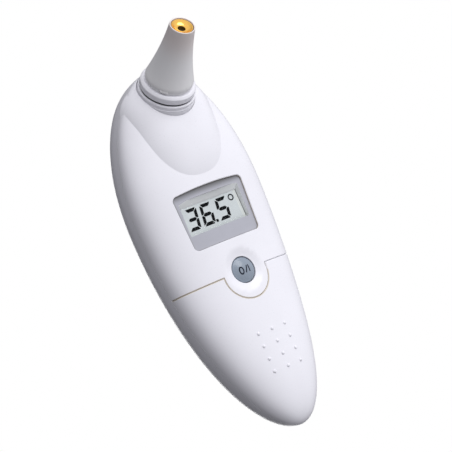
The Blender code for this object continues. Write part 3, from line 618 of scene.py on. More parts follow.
def on_probe(obj):
    """Move a piece made along +Z from the tip to its place on the probe's axis."""
    obj.matrix_world = Matrix.Translation(PROBE_TIP) @ Matrix.Rotation(-PROBE_LEAN, 4, "X")
    return bake(obj, outward=False)


def place(obj, name, slot, replaced=None, body="handset"):
    """Name a piece, shade it, let it ride on its body and stand for a CAD node."""
    obj.name = name
    obj.data.name = name
    obj.data.shade_smooth()
    obj.data.set_sharp_from_angle(angle=math.radians(28))
    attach(obj, body)
    if replaced:
        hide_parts(replaced)


# ---------------------------------------------------------------- body form

def parting_height(y):
    """Height of the line where the front and rear covers meet."""
    return PARTING_Z + PARTING_SLOPE * y + PARTING_CURVE * y * y


def body_sizes(y, inset=0.0):
    """Half width, front height and rear height of the body at y, inset all round."""
    y = np.asarray(y, float)
    head = y > BODY_WIDEST_Y
    reach = np.where(head, BODY_HEAD_Y - BODY_WIDEST_Y, BODY_WIDEST_Y - BODY_TAIL_Y)
    share = np.clip(np.abs(y - BODY_WIDEST_Y) / (reach - inset), 0.0, 1.0)
    power = np.where(head, HEAD_PLAN[0], TAIL_PLAN[0])
    root = np.where(head, HEAD_PLAN[1], TAIL_PLAN[1])
    half = (BODY_HALF_WIDTH - inset) * (1 - share ** power) ** (1 / root)
    front_power = np.where(head, *FRONT_END_POWER)
    rear_power = np.where(head, *REAR_END_POWER)
    front = (FRONT_HEIGHT - inset) * np.sqrt(1 - share ** front_power)
    rear = (REAR_HEIGHT - inset) * np.sqrt(1 - share ** rear_power)
    return half, front, rear


def dish(x, y):
    """How far the face is pressed in at a point, round the power button."""
    share = np.clip(np.hypot(x, y) / DISH_RADIUS, 0.0, 1.0)
    return DISH_DEPTH * (1 - share ** 4) ** 2


def face_height(x, y, inset=0.0):
    """Height of the front of the body over a point."""
    half, front, _ = body_sizes(y, inset)
    share = np.clip(np.abs(x) / half, 0.0, 1.0)
    rise = (1 - share ** FRONT_SECTION_POWER) ** (1 / FRONT_SECTION_POWER)
    return float(parting_height(y) + front * rise)


def body_field(points, inset=0.0):
    """Below zero inside the body, zero on it, above zero outside."""
    x, y, z = points.T
    half, front, rear = body_sizes(y, inset)
    rise = z - parting_height(y)
    upper = rise > 0
    rise = rise + np.where(upper, dish(x, y), 0.0) * (inset == 0.0)
    height = np.where(upper, front, rear)
    power = np.where(upper, FRONT_SECTION_POWER, REAR_SECTION_POWER)
    tiny = 1e-9
    return (np.abs(x) / (half + tiny)) ** power + (np.abs(rise) / (height + tiny)) ** power - 1


def hood_field(points):
    """The same for the hood."""
    x, y, z = (points - np.array(HOOD_CENTRE)).T
    along = np.where(y > 0, HOOD_TO_HEAD, HOOD_TO_TAIL)
    around = np.where(z > 0, HOOD_UP, HOOD_DOWN)
    section = (np.abs(x) / HOOD_HALF_WIDTH) ** HOOD_SECTION_POWER
    section = section + (np.abs(z) / around) ** HOOD_SECTION_POWER
    ring = section ** (HOOD_END_POWER / HOOD_SECTION_POWER)
    return ring + (np.abs(y) / along) ** HOOD_END_POWER - 1


def slope(field, points):
    """A field's gradient."""
    step = 2e-6
    columns = []
    for axis in np.eye(3) * step:
        columns.append((field(points + axis) - field(points - axis)) / (2 * step))
    return np.stack(columns, axis=1)


def unit(vectors):
    """Vectors at length one."""
    return vectors / np.maximum(np.linalg.norm(vectors, axis=1, keepdims=True), 1e-12)


def column(items, name, width=1, kind=float):
    """One property of many mesh items, as an array."""
    values = np.zeros(len(items) * width, kind)
    items.foreach_get(name, values)
    return values.reshape(-1, width) if width > 1 else values


def true_normals(obj, *fields):
    """Shade faces that lie on an exact form with that form's own normals."""
    mesh = obj.data
    count = len(mesh.polygons)
    centres = column(mesh.polygons, "center", 3)
    facing = column(mesh.polygons, "normal", 3)
    verts = column(mesh.vertices, "co", 3)
    corners = column(mesh.loops, "vertex_index", kind=int)
    owner = np.repeat(np.arange(count), column(mesh.polygons, "loop_total", kind=int))
    best = np.full(count, ON_FORM)
    chosen = np.full(count, -1)
    for index, field in enumerate(fields):
        gradient = slope(field, centres)
        away = np.abs(field(centres)) / np.maximum(np.linalg.norm(gradient, axis=1), 1e-9)
        nearer = ((unit(gradient) * facing).sum(axis=1) > 0.86) & (away < best)
        best[nearer] = away[nearer]
        chosen[nearer] = index
    normals = np.zeros((len(corners), 3))
    for index, field in enumerate(fields):
        mine = chosen[owner] == index
        normals[mine] = unit(slope(field, verts[corners[mine]]))
    mesh.normals_split_custom_set(normals.tolist())


def signed_power(value, power):
    """A power that keeps the value's sign."""
    return np.sign(value) * np.abs(value) ** power


def unit_ball(segments, rings):
    """A ball of radius one, and its points: across, around, along and off the axis."""
    shape = bmesh.new()
    bmesh.ops.create_uvsphere(shape, u_segments=segments, v_segments=rings, radius=1.0)
    across, around, along = np.array([vert.co for vert in shape.verts]).T
    return shape, across, around, along, np.maximum(np.hypot(across, around), 1e-9)


def reshaped(name, shape, x, y, z, material):
    """An object from a bmesh whose points get new places."""
    for vert, co in zip(shape.verts, np.stack((x, y, z), axis=1)):
        vert.co = co
    return from_bmesh(name, shape, material)


def body(inset=0.0, segments=176, rings=144, material="housing"):
    """The egg-shaped body, made smaller by inset on every side."""
    shape, across, around, along, flat = unit_ball(segments, rings)
    middle = (BODY_HEAD_Y + BODY_TAIL_Y) / 2
    reach = (BODY_HEAD_Y - BODY_TAIL_Y) / 2 - inset
    y = middle + reach * np.clip(along, -1.0, 1.0)
    half, front, rear = body_sizes(y, inset)
    upper = around >= 0
    height = np.where(upper, front, rear)
    power = np.where(upper, FRONT_SECTION_POWER, REAR_SECTION_POWER)
    x = half * signed_power(across / flat, 2 / power)
    z = parting_height(y) + height * signed_power(around / flat, 2 / power)
    if inset == 0.0:
        z = z - np.where(around > 0.05, dish(x, y), 0.0)
    return reshaped("body", shape, x, y, z, material)


def hood(inset=0.0, segments=112, rings=72, material="housing"):
    """The hood: a squared ball with its own reach up, down, to the head and the tail."""
    shape, across, around, along, flat = unit_ball(segments, rings)
    ring = flat ** (2 / HOOD_END_POWER)
    wide = ring * signed_power(across / flat, 2 / HOOD_SECTION_POWER)
    reach = signed_power(along, 2 / HOOD_END_POWER)
    tall = ring * signed_power(around / flat, 2 / HOOD_SECTION_POWER)
    x = HOOD_CENTRE.x + wide * (HOOD_HALF_WIDTH - inset)
    y = HOOD_CENTRE.y + reach * (np.where(along > 0, HOOD_TO_HEAD, HOOD_TO_TAIL) - inset)
    z = HOOD_CENTRE.z + tall * (np.where(around > 0, HOOD_UP, HOOD_DOWN) - inset)
    return reshaped("hood", shape, x, y, z, material)


def below_parting(shift):
    """A block that fills everything below the parting line, raised by shift."""
    ends = 90 * MM
    places = [-ends + 2 * ends * step / 72 for step in range(73)]
    outline = [(y, parting_height(y) + shift) for y in places]
    part = prism(outline + [(ends, -ends), (-ends, -ends)], -ends, ends, "inside")
    part.rotation_euler = ALONG_X
    return bake(part)


def tail_outline(shift):
    """The battery cover's edge round the lobe, moved back by shift."""
    edge = SEAM_Y - shift
    radius = LOBE_RADIUS + shift
    dip = math.degrees(math.asin((edge - LOBE_CENTRE_Y) / radius))
    return edge, arc((0.0, LOBE_CENTRE_Y), radius, 180 - dip, 360 + dip, 48)


def tail_region(shift):
    """A block over the battery cover's plan, its edge moved back by shift."""
    side = 60 * MM
    edge, lobe = tail_outline(shift)
    outline = [(-side, edge), *lobe, (side, edge), (side, -2 * side), (-side, -2 * side)]
    return prism(outline, -side, side, "inside")


def window_outline(inset=0.0):
    """Outline of the display window: wider at the head end, with a crowned top."""
    radius = WINDOW_CORNER - inset / 2
    low, high = WINDOW_LOW_Y + inset, WINDOW_HIGH_Y - inset
    low_half, high_half = WINDOW_LOW_HALF - inset, WINDOW_HIGH_HALF - inset
    outline = arc((high_half - radius, high - radius), radius, 0, 80, 8)
    for step in range(1, 24):
        share = 1 - step / 12
        x = share * (high_half - radius)
        outline.append((x, high + WINDOW_CROWN * (1 - share * share)))
    outline += arc((-high_half + radius, high - radius), radius, 100, 180, 8)
    outline += arc((-low_half + radius, low + radius), radius, 180, 270, 8)
    outline += arc((low_half - radius, low + radius), radius, 270, 360, 8)
    return [(x + WINDOW_X, y) for x, y in outline]


# ---------------------------------------------------------------- grooves

# Its default finish, edge, paints warm bounce light onto the walls it cuts.
def groove(path, width, depth, closed=True, material="edge"):
    """A cutter with a diamond section that follows a path on the body's surface."""
    path = np.array(path, float)
    normals = unit(slope(body_field, path))
    if closed:
        tangents = unit(np.roll(path, -1, axis=0) - np.roll(path, 1, axis=0))
    else:
        tangents = unit(np.gradient(path, axis=0))
    sides = unit(np.cross(normals, tangents))
    shape = bmesh.new()
    rows = []
    for spot, normal, side in zip(path, normals, sides):
        corners = (spot + side * width, spot - normal * depth,
                   spot - side * width, spot + normal * depth)
        rows.append([shape.verts.new(corner) for corner in corners])
    pairs = list(zip(rows, rows[1:]))
    if closed:
        pairs.append((rows[-1], rows[0]))
    else:
        shape.faces.new(rows[0])
        shape.faces.new(reversed(rows[-1]))
    for first, second in pairs:
        for index in range(4):
            after = (index + 1) % 4
            shape.faces.new((first[index], first[after], second[after], second[index]))
    return from_bmesh("groove", shape, material=material)


def even(path, spacing):
    """Points at an even spacing along an open path."""
    path = np.array(path, float)
    along = np.cumsum([0.0, *np.linalg.norm(np.diff(path, axis=0), axis=1)])
    wanted = np.linspace(0.0, along[-1], max(int(along[-1] / spacing), 2) + 1)
    return np.stack([np.interp(wanted, along, path[:, axis]) for axis in range(3)], axis=1)


def parting_path():
    """The line round the handset where the covers meet."""
    path = []
    for step in range(240):
        angle = 2 * math.pi * (step + 0.5) / 240
        y = (BODY_HEAD_Y + BODY_TAIL_Y + (BODY_HEAD_Y - BODY_TAIL_Y) * math.cos(angle)) / 2
        half = float(body_sizes(y)[0])
        path.append((math.copysign(half, math.sin(angle)), y, parting_height(y)))
    return path


def section_path(y, side, inner):
    """Up the body's side at y, from the parting line to a distance from the middle."""
    half, front, _ = (float(value) for value in body_sizes(y))
    path = []
    for step in range(61):
        angle = -0.04 + (math.pi / 2 + 0.04) * step / 60
        x = half * float(signed_power(math.cos(angle), 2 / FRONT_SECTION_POWER))
        rise = front * float(signed_power(math.sin(angle), 2 / FRONT_SECTION_POWER))
        if x < inner:
            break
        path.append((side * x, y, parting_height(y) + rise))
    path.append((side * inner, y, face_height(inner, y)))
    return path


def seam_path():
    """The battery cover's edge: up the left side, round the lobe, down the right."""
    edge, lobe = tail_outline(0.0)
    inner = abs(lobe[0][0])
    left = even(section_path(edge, -1, inner), 0.7 * MM)
    right = even(section_path(edge, 1, inner), 0.7 * MM)[::-1]
    middle = [(x, y, face_height(x, y)) for x, y in lobe[1:-1]]
    return [*left, *middle, *right]


def window_path():
    """The window's edge on the face."""
    outline = [(x, y, 0.0) for x, y in window_outline()]
    outline.append(outline[0])
    return [(x, y, face_height(x, y)) for x, y, _ in even(outline, 0.6 * MM)[:-1]]


def seam_groove():
    """The groove along the seam: its walls carry painted warm bounce light, but are plain white
    on the right.
    """
    cutter = groove(seam_path(), SEAM_GROOVE, SEAM_GROOVE, closed=False)
    cutter.data.materials.append(MATERIALS["housing"])
    for polygon in cutter.data.polygons:
        polygon.material_index = int(polygon.center.x > LOBE_RADIUS)
    return cutter


# ---------------------------------------------------------------- covers

def hollow():
    """The space inside the covers, with bosses, posts and probe socket left solid."""
    space = join(body(WALL, 64, 48, "inside"), hood(WALL, 40, 24, "inside"))
    post_top = BOARD_TOP - BOARD_THICK - GAP
    solids = [cylinder(BOSS_RADIUS, -5 * MM, 40 * MM, spot, 32, "inside")
              for spot in HOUSING_SCREWS]
    solids += [cylinder(2.4 * MM, -5 * MM, post_top, spot, 24, "inside")
               for spot in BOARD_SCREWS]
    socket = cylinder(SOCKET_RADIUS, SOCKET_BOTTOM, -20 * MM, material="inside")
    return cut(space, gather("columns", solids), on_probe(socket))


def probe_bore():
    """The stepped bore that holds the neck collar."""
    bore = COLLAR_RADIUS + 0.12 * MM
    profile = [(0.0, 10 * MM), (bore, 10 * MM), (bore, COLLAR_BOTTOM - GAP),
               (7.2 * MM, COLLAR_BOTTOM - GAP), (7.2 * MM, SOCKET_BOTTOM - MM),
               (0.0, SOCKET_BOTTOM - MM)]
    return on_probe(turned(profile, 96, "housing"))


def screw_holes():
    """Counterbores and pilot holes of the housing and board screws, as one cutter."""
    profile = [mm(0, 18.2), mm(1.25, 18.2), (1.25 * MM, SHOULDER_Z), (2.35 * MM, SHOULDER_Z),
               mm(2.35, -5), mm(0, -5)]
    cutters = [at(turned(profile, 40), *spot) for spot in HOUSING_SCREWS]
    cutters += [cylinder(1.25 * MM, 6 * MM, 14 * MM, spot, 24, "inside")
                for spot in BOARD_SCREWS]
    return gather("holes", cutters)


def housing():
    """Front and rear cover as one hollow form, with the parting line's groove."""
    shell = join(body(), cut(hood(), below_parting(0.0)))
    side = 90 * MM
    line = groove(parting_path(), PARTING_GROOVE, PARTING_GROOVE, material="housing")
    return cut(shell, hollow(), probe_bore(), box((-side, -side, -side), (side, side, 0.0)), line)


def copy_of(obj):
    """A second object with its own copy of the mesh."""
    return linked(obj.name, obj.data.copy())


def rear_cover(shell):
    """Rear cover with its screw holes, the scan button's hole and the label pocket."""
    radius = SCAN_RADIUS + 0.2 * MM
    hole = turned([(0.0, 10 * MM), (radius, 10 * MM), (radius, 0.9 * MM),
                   (radius + 1.4 * MM, -0.5 * MM), (0.0, -0.5 * MM)])
    pocket = plate(mm(-8.5, 6), mm(8.5, 19), MM, -MM, 0.6 * MM)
    cover = keep(shell, below_parting(-SEAM / 2))
    cover = cut(cover, screw_holes(), at(hole, 0.0, SCAN_Y), pocket)
    place(cover, "rear_shell", "housing", "rear_cover")
    true_normals(cover, body_field)


def front_cover(shell):
    """Front cover with the hood, the window, the button's hole and the seam."""
    hole, wide = BUTTON_RADIUS + 0.25 * MM, BUTTON_RADIUS + 0.55 * MM
    floor = BUTTON_TOP + 0.02 * MM
    mouth = turned([(0.0, 40 * MM), (wide, 40 * MM), (wide, floor + 0.4 * MM),
                    (hole, floor), (hole, 15 * MM), (0.0, 15 * MM)])
    # The window's cutter gives the window's walls the edge finish: painted warm bounce light.
    cover = cut(shell, below_parting(SEAM / 2),
                groove(window_path(), 0.22 * MM, 0.22 * MM, material="housing"),
                prism(window_outline(), 15 * MM, 40 * MM, "edge"), mouth, screw_holes(),
                seam_groove(), tail_region(-SEAM / 2))
    place(cover, "front_shell", "housing", "front_cover")
    true_normals(cover, body_field, hood_field)


def grip_nubs():
    """The field of small grip nubs."""
    shape = bmesh.new()
    for row in range(NUB_ROWS):
        y = NUB_FIRST_Y + row * NUB_PITCH_Y
        for x in NUB_COLUMNS:
            centre = Vector((x, y, face_height(x, y) - NUB_SUNK))
            bmesh.ops.create_uvsphere(shape, u_segments=24, v_segments=12,
                                      radius=NUB_RADIUS, matrix=Matrix.Translation(centre))
    return from_bmesh("nubs", shape)


def battery_cover(shell):
    """Battery cover with its grip nubs and the two tongues under the front cover."""
    cover = keep(cut(shell, below_parting(SEAM / 2), seam_groove()), tail_region(SEAM / 2))
    for side in (-1, 1):
        inner, outer = sorted((side * 11 * MM, side * 15 * MM))
        hook = block((inner, -4 * MM, 17.9 * MM), (outer, 2 * MM, 19.1 * MM), 0.2 * MM,
                     "inside")
        riser = box((inner, -4 * MM, 18 * MM), (outer, -1.4 * MM, 21.4 * MM), "inside")
        cover = join(cover, join(hook, riser))
    cover = join(cover, grip_nubs())
    place(cover, "battery_door", "housing", "battery_cover", "battery_cover")
    true_normals(cover, body_field)


# ---------------------------------------------------------------- display

def bezel():
    """Grey frame, curved with the face, with sloping walls at its head and right, and painted
    shade on the walls of its opening.
    """
    flange = plate(mm(-15.2, 9.6), mm(14.3, 30.6), 2 * MM,
                   19.9 * MM, 30 * MM, "bezel")
    flange = keep(flange, body(WALL + GAP, 48, 40, "bezel"))
    riser = prism(window_outline(0.12 * MM), 20.1 * MM, 30 * MM, "bezel")
    riser = keep(riser, body(BEZEL_INSET, 128, 104, "bezel"))
    pocket = box(mm(-12.97, 13.0, 0), (11.9 * MM, 28.2 * MM, LCD_TOP + 0.1 * MM),
                 "bezel")
    # The opening's walls take the slot finish: painted shade.
    opening = plate(SIGHT_LOW, SIGHT_HIGH, 0.35 * MM, 0.0, 30 * MM, "slot")
    low, high = LCD_TOP + 0.35 * MM, LCD_TOP + 2.4 * MM
    for edge, run, turn in ((SIGHT_HIGH[1], 1.9 * MM, ALONG_X),
                            (SIGHT_HIGH[0], 0.8 * MM, (math.pi / 2, 0.0, 0.0))):
        foot, crest, far = edge - run, edge + 0.2 * run, edge + 5 * MM
        ramp = prism([(foot, low - 0.2 * MM), (foot, low), (crest, high), (far, high),
                      (far, low - 0.2 * MM)], -40 * MM, 40 * MM, "ramp")
        ramp.rotation_euler = turn
        opening = cut(opening, bake(ramp))
    piece = cut(join(flange, riser), pocket, opening)
    place(piece, "bezel_frame", "bezel", "display_bezel")
    true_normals(piece, lambda points: body_field(points, BEZEL_INSET))


def lens():
    """Clear window in the bezel's opening."""
    low = LCD_TOP + 0.3 * MM
    clear = 0.14 * MM
    pane = plate((SIGHT_LOW[0] + clear, SIGHT_LOW[1] + clear),
                 (SIGHT_HIGH[0] - clear, SIGHT_HIGH[1] - clear), 0.3 * MM, low,
                 low + LENS_THICK, "lens")
    place(bevelled(pane, 0.08 * MM, 2), "lens_pane", "lens", "display_lens")


def segment(start, end, outer):
    """One bar of a digit, mitred at both ends; its outer side is the longer one."""
    along = (end - start).normalized()
    first, last = start + along * DIGIT_GAP, end - along * DIGIT_GAP
    point = along * DIGIT_STROKE / 2
    aside = Vector((-point.y, point.x))
    tips = []
    for side in (1, -1):
        near, far = (1, 1) if side != outer else (
            0.1 if abs(spot.y - DIGIT_HEIGHT / 2) < MM else -0.5 for spot in (start, end))
        tips.append([first + point * near + aside * side, last - point * far + aside * side])
    return [first, *tips[0], last, *tips[1][::-1]]


def digits():
    """The reading: three digits, a point and a degree ring, as thin dark pieces."""
    size = Vector((DIGIT_WIDTH, DIGIT_HEIGHT / 2))
    low, top = LCD_TOP + 0.24 * MM, LCD_TOP + 0.27 * MM
    parts = []
    for left, bars in DIGITS:
        for bar in bars:
            *ends, outer = BARS[bar]
            start, end = (Vector(spot) * size for spot in ends)
            outline = [(left + x + DIGIT_SLANT * y, DIGIT_LOW_Y + y)
                       for x, y in segment(start, end, outer)]
            parts.append(prism(outline, low, top, "ink"))
    side = 0.46 * MM
    parts.append(plate((POINT_X - side, DIGIT_LOW_Y - side), (POINT_X + side, DIGIT_LOW_Y + side),
                       0.1 * MM, low, top, "ink"))
    parts.append(at(ring(DEGREE_RADIUS, 0.2 * MM, low, top, 48, "ink"), *DEGREE_CENTRE))
    place(gather("digits", parts), "lcd_digits", "lcd")


def lcd():
    """LCD cell: a glass with a pale rim round its active field, and a thin dark strip of painted
    shadow by its right edge.
    """
    low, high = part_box("lcd_glass")
    panel = block(low, high + Vector((0.0, 0.0, 0.2 * MM)), 0.15 * MM, "lcd_rim")
    # A near-black strip by the opening's right wall: a painted shadow line.
    lip = SIGHT_HIGH[0] - 0.62 * MM
    slot = box((lip - 0.3 * MM, SIGHT_LOW[1] + 0.4 * MM, LCD_TOP),
               (lip, 25.6 * MM, LCD_TOP + 0.3 * MM), "slot")
    field = plate((low.x + 0.1 * MM, SIGHT_LOW[1] - 1.2 * MM), mm(9.4, 26.35),
                  0.1 * MM, LCD_TOP - 0.2 * MM, LCD_TOP + 0.23 * MM, "lcd")
    place(join(panel, slot, field), "lcd_panel", "lcd", "lcd_glass")


# ---------------------------------------------------------------- buttons

def stroke(start, end, width, low, top):
    """A straight printed line, as a thin solid."""
    start, end = Vector(start), Vector(end)
    along = (end - start).normalized()
    aside = Vector((-along.y, along.x)) * width / 2
    return prism([start + aside, end + aside, end - aside, start - aside], low, top, "mark")


def oval(grow):
    """Outline of the printed zero, made larger by grow."""
    points = []
    for angle in np.arange(40) * (2 * math.pi / 40):
        across, along = math.cos(angle), math.sin(angle)
        out = Vector((across / ZERO_RADII[0], along / ZERO_RADII[1])).normalized()
        points.append(ZERO_CENTRE + Vector((ZERO_RADII[0] * across, ZERO_RADII[1] * along))
                      + out * grow)
    return points


def cap_crown(top):
    """The power button's domed top and its rounded edge, as (radius, height)."""
    flat = BUTTON_RADIUS - CAP_EDGE
    crown = [(flat * share, top - CAP_SAG * share ** 2) for share in np.linspace(0, 1, 13)]
    edge = arc((flat, top - CAP_SAG - CAP_EDGE), CAP_EDGE, 78, 0, 10)
    return crown + edge


def power_button():
    """Power button: a domed cap with a soft edge, and its printed 0/I mark."""
    top = BUTTON_TOP + 0.3 * MM
    profile = cap_crown(top)
    profile += [(BUTTON_RADIUS, 21.6 * MM), mm(5.6, 21.6), mm(5.6, 20.9),
                mm(2.8, 20.9), mm(2.8, 16.6), (0.0, 16.6 * MM)]
    place(turned(profile, 96, "button"), "power_button_cap", "button", "power_button",
          "power_button")
    low, high = top - 0.5 * MM, top + MM
    width = 0.44 * MM
    zero = cut(prism(oval(width / 2), low, high, "mark"),
               prism(oval(-width / 2), low - MM, high + MM, "mark"))
    slash = stroke(mm(0.12, -1.27), mm(1.1, 1.0), width, low, high)
    bar = stroke(mm(1.72, -1.27), mm(1.72, 1.03), width, low, high)
    film = turned(cap_crown(top + 0.012 * MM) + [(BUTTON_RADIUS, low - MM), (0.0, low - MM)],
                  96, "mark")
    mark = keep(gather("mark", [zero, slash, bar]), film)
    place(mark, "power_button_mark", "button", body="power_button")


def scan_button():
    """Scan button in the back of the head, flush with the shell and a little proud."""
    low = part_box("scan_button")[0].z
    cap = cylinder(SCAN_RADIUS, low - 0.01 * MM, SCAN_FLANGE_Z + MM, (0.0, SCAN_Y), 96,
                   "button")
    cap = keep(cap, body(-0.38 * MM, 128, 104, "button"))
    flange = cylinder(6.5 * MM, SCAN_FLANGE_Z, SCAN_FLANGE_Z + 0.8 * MM, (0.0, SCAN_Y), 64,
                      "button")
    rings = [at(ring(radius, 0.16 * MM, -0.5 * MM, 0.35 * MM, 64, "button"), 0.0, SCAN_Y)
             for radius in mm(1.6, 3.0)]
    cap = cut(join(cap, flange), gather("rings", rings))
    place(cap, "scan_button_cap", "button", "scan_button", "scan_button")


# ---------------------------------------------------------------- probe

def cone_radius(height):
    """Outer radius of the probe cone at a height below the tip."""
    depth = -height / MM
    return TIP_RADIUS + (0.06 * depth + 0.006 * depth ** 2) * MM


def probe_cone():
    """Flared probe shell with a round rim, a soft foot and three locking lugs."""
    rim = 0.2 * MM
    profile = [(3.72 * MM + rim - rim * math.cos(a), -rim + rim * math.sin(a))
               for a in np.linspace(0.0, math.pi, 13)]
    profile = [(radius, height) for radius, height in profile if height >= -rim - 1e-9]
    steps = 28
    for step in range(1, steps + 1):
        height = -rim + (CONE_FOOT + rim) * step / steps
        profile.append((cone_radius(height), height))
    foot = cone_radius(CONE_FOOT)
    drop = CONE_FOOT - CONE_LAND
    for angle in np.linspace(0.0, math.pi / 2, 7)[1:]:
        profile.append((foot - 0.3 * MM * (1 - math.cos(angle)),
                        CONE_FOOT - drop * 0.55 - drop * 0.45 * math.sin(angle)))
    profile += [(7.5 * MM, CONE_LAND), (7.5 * MM, RING_TOP + 0.15 * MM),
                (SPIGOT_RADIUS, RING_TOP + 0.15 * MM), (SPIGOT_RADIUS, SPIGOT_END),
                (5.2 * MM, SPIGOT_END), mm(5.2, -15), mm(3.72, -9.5)]
    cone = turned(profile, 128, "probe_shell")
    for angle in (100, 220, 340):
        lug = block((7.0 * MM, -1.4 * MM, CONE_LAND - 0.5 * MM),
                    (foot + 0.12 * MM, 1.4 * MM, CONE_LAND + 0.35 * MM), 0.25 * MM,
                    "probe_shell")
        lug.rotation_euler.z = math.radians(angle)
        cone = join(cone, bake(lug))
    place(on_probe(cone), "probe_cone_shell", "probe_shell", "probe_cone")


def probe_rings():
    """Flange ring, seal and neck collar."""
    flange = [(7.3 * MM, RING_TOP, 0.1 * MM), (8.35 * MM, RING_TOP, 0.6 * MM),
            (RING_RADIUS, RING_TOP - 0.75 * MM, 0.5 * MM), (RING_RADIUS, RING_BOTTOM, 0.35 * MM),
            (COLLAR_BORE, RING_BOTTOM, 0.1 * MM), (COLLAR_BORE, RING_TOP - 0.2 * MM, 0.1 * MM)]
    place(on_probe(turned(flange, 128)), "flange_ring", "housing", "probe_flange_ring")
    seal_height = COLLAR_TOP - 0.7 * MM
    section = arc((7.75 * MM, seal_height), 0.6 * MM, 90, -250, 17)
    place(on_probe(turned(section, 64, "seal")), "seal_ring", "seal", "probe_seal")
    groove_floor = COLLAR_TOP - 1.55 * MM
    line = COLLAR_TOP - 1.5 * MM
    crown = COLLAR_TOP - 0.25 * MM
    collar = [(COLLAR_RADIUS - 0.12 * MM, crown, 0.35 * MM),
              (COLLAR_RADIUS - 0.12 * MM, line, 0.04 * MM),
              (COLLAR_RADIUS - 0.28 * MM, line - 0.08 * MM, 0.02 * MM),
              (COLLAR_RADIUS, line - 0.28 * MM, 0.06 * MM),
              (COLLAR_RADIUS, COLLAR_BOTTOM, 0.1 * MM), (COLLAR_BORE, COLLAR_BOTTOM, 0.1 * MM),
              (COLLAR_BORE, groove_floor, 0.0), (8.7 * MM, groove_floor, 0.0),
              (8.7 * MM, crown, 0.1 * MM)]
    place(on_probe(turned(collar, 128)), "collar_ring", "housing", "neck_collar")


def sensor():
    """Gold cup with its wave guide and the dark window at its bottom."""
    aperture, guide = 1.27 * MM, 2.2 * MM
    profile = [mm(3.42, -0.3), mm(3.42, -1.4), (guide, -2.2 * MM),
               (guide, -5.9 * MM), (aperture, -5.9 * MM), (aperture, -1.35 * MM)]
    for step in range(13):
        share = step / 12
        profile.append((aperture + (3.22 * MM - aperture) * share,
                        (-1.27 + 0.97 * share ** 2.0) * MM))
    place(on_probe(turned(profile, 96, "gold")), "gold_cup", "gold", "sensor_cup")
    window = cylinder(aperture - 0.05 * MM, -2.4 * MM, -2.1 * MM, material="filter")
    place(on_probe(window), "dark_window", "filter", "sensor_window")


# ---------------------------------------------------------------- inside and fasteners

def pan_screw(name, spot, under_head, tip, away, node_name):
    """A pan-head screw with a cross recess and a threaded shank; its head points away."""
    outline = [(0.0, 1.3), (0.9, 1.27), (1.5, 1.1), (1.85, 0.65), (1.9, 0.1), (1.85, 0.0),
               (0.95, 0.0)]
    for turn in range(int(abs(under_head - tip) / (0.6 * MM)) - 2):
        outline += [(0.78, -0.4 - 0.6 * turn), (0.95, -0.7 - 0.6 * turn)]
    profile = [(radius * MM, under_head + away * height * MM) for radius, height in outline]
    profile += [(0.7 * MM, tip + away * 0.9 * MM), (0.0, tip)]
    low, high = sorted(under_head + away * height for height in (0.55 * MM, 2.3 * MM))
    screw = cut(turned(profile[::away], 32, "steel"), cross(1.05 * MM, 0.17 * MM, low, high))
    place(at(screw, *spot), name, "steel", node_name)


def screws():
    """Four housing screws from the back, two board screws from the front."""
    for number, spot in enumerate(HOUSING_SCREWS, start=1):
        pan_screw(f"case_screw_{number}", spot, SHOULDER_Z - GAP, 17.6 * MM, -1,
                  f"housing_screw_{number}")
    for number, spot in enumerate(BOARD_SCREWS, start=1):
        pan_screw(f"board_screw_{number}", spot, BOARD_TOP + GAP, 6.6 * MM, 1,
                  f"pcb_screw_{number}")


def coin_cell():
    """Coin cell: a can with a rolled edge, a stamped plus sign and its lower cap."""
    top = CELL_THICK
    profile = [
        (0.0, top - 0.06 * MM, 0.0), (8.4 * MM, top - 0.06 * MM, 0.1 * MM),
        (8.6 * MM, top, 0.1 * MM), (CELL_RADIUS, top, 0.45 * MM),
        (CELL_RADIUS, 0.45 * MM, 0.3 * MM), mm(9.1, 0.35, 0.1),
        mm(8.9, 0, 0.2), (0.0, 0.0, 0.0)]
    stamp = cross(2.2 * MM, 0.35 * MM, top - 0.16 * MM, top + MM)
    cell = cut(turned(profile, 96, "steel"), at(stamp, 0.0, -3.0 * MM))
    place(at(cell, *CELL_CENTRE), "battery_cell", "steel", "coin_cell")


def battery_tray():
    """Round tray for the coin cell, on three legs, with a finger notch and a slot."""
    x, y, base = CELL_CENTRE
    rim = base + CELL_THICK + 0.3 * MM
    pocket = CELL_RADIUS + 0.35 * MM
    floor = TRAY_FLOOR + 1.2 * MM
    profile = [(0.0, floor, 0.0), (pocket, floor, 0.2 * MM), (pocket, rim, 0.25 * MM),
               (12.3 * MM, rim, 0.4 * MM), (12.3 * MM, TRAY_FLOOR, 0.4 * MM),
               (0.0, TRAY_FLOOR, 0.0)]
    slot = box((-2.6 * MM, y + 9.6 * MM, floor), (2.6 * MM, y + 14 * MM, rim + MM), "tray")
    notch = cylinder(5.5 * MM, base + MM, rim + MM, (0.0, y - 13.5 * MM), 48, "tray")
    tray = cut(at(turned(profile, 96, "tray"), x, y), slot, notch)
    for turn in map(math.radians, (90, 210, 330)):
        leg = (x + 7 * MM * math.cos(turn), y + 7 * MM * math.sin(turn))
        tray = join(tray, cylinder(1.6 * MM, 5.6 * MM, TRAY_FLOOR + 0.4 * MM, leg, 32, "tray"))
    place(tray, "cell_tray", "tray", "battery_tray")


def label():
    """Blank label in the pocket of the back."""
    low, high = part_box("rating_label")
    film = plate(low.xy, high.xy, 0.7 * MM, low.z, high.z, "label")
    place(film, "label_film", "label", "rating_label")


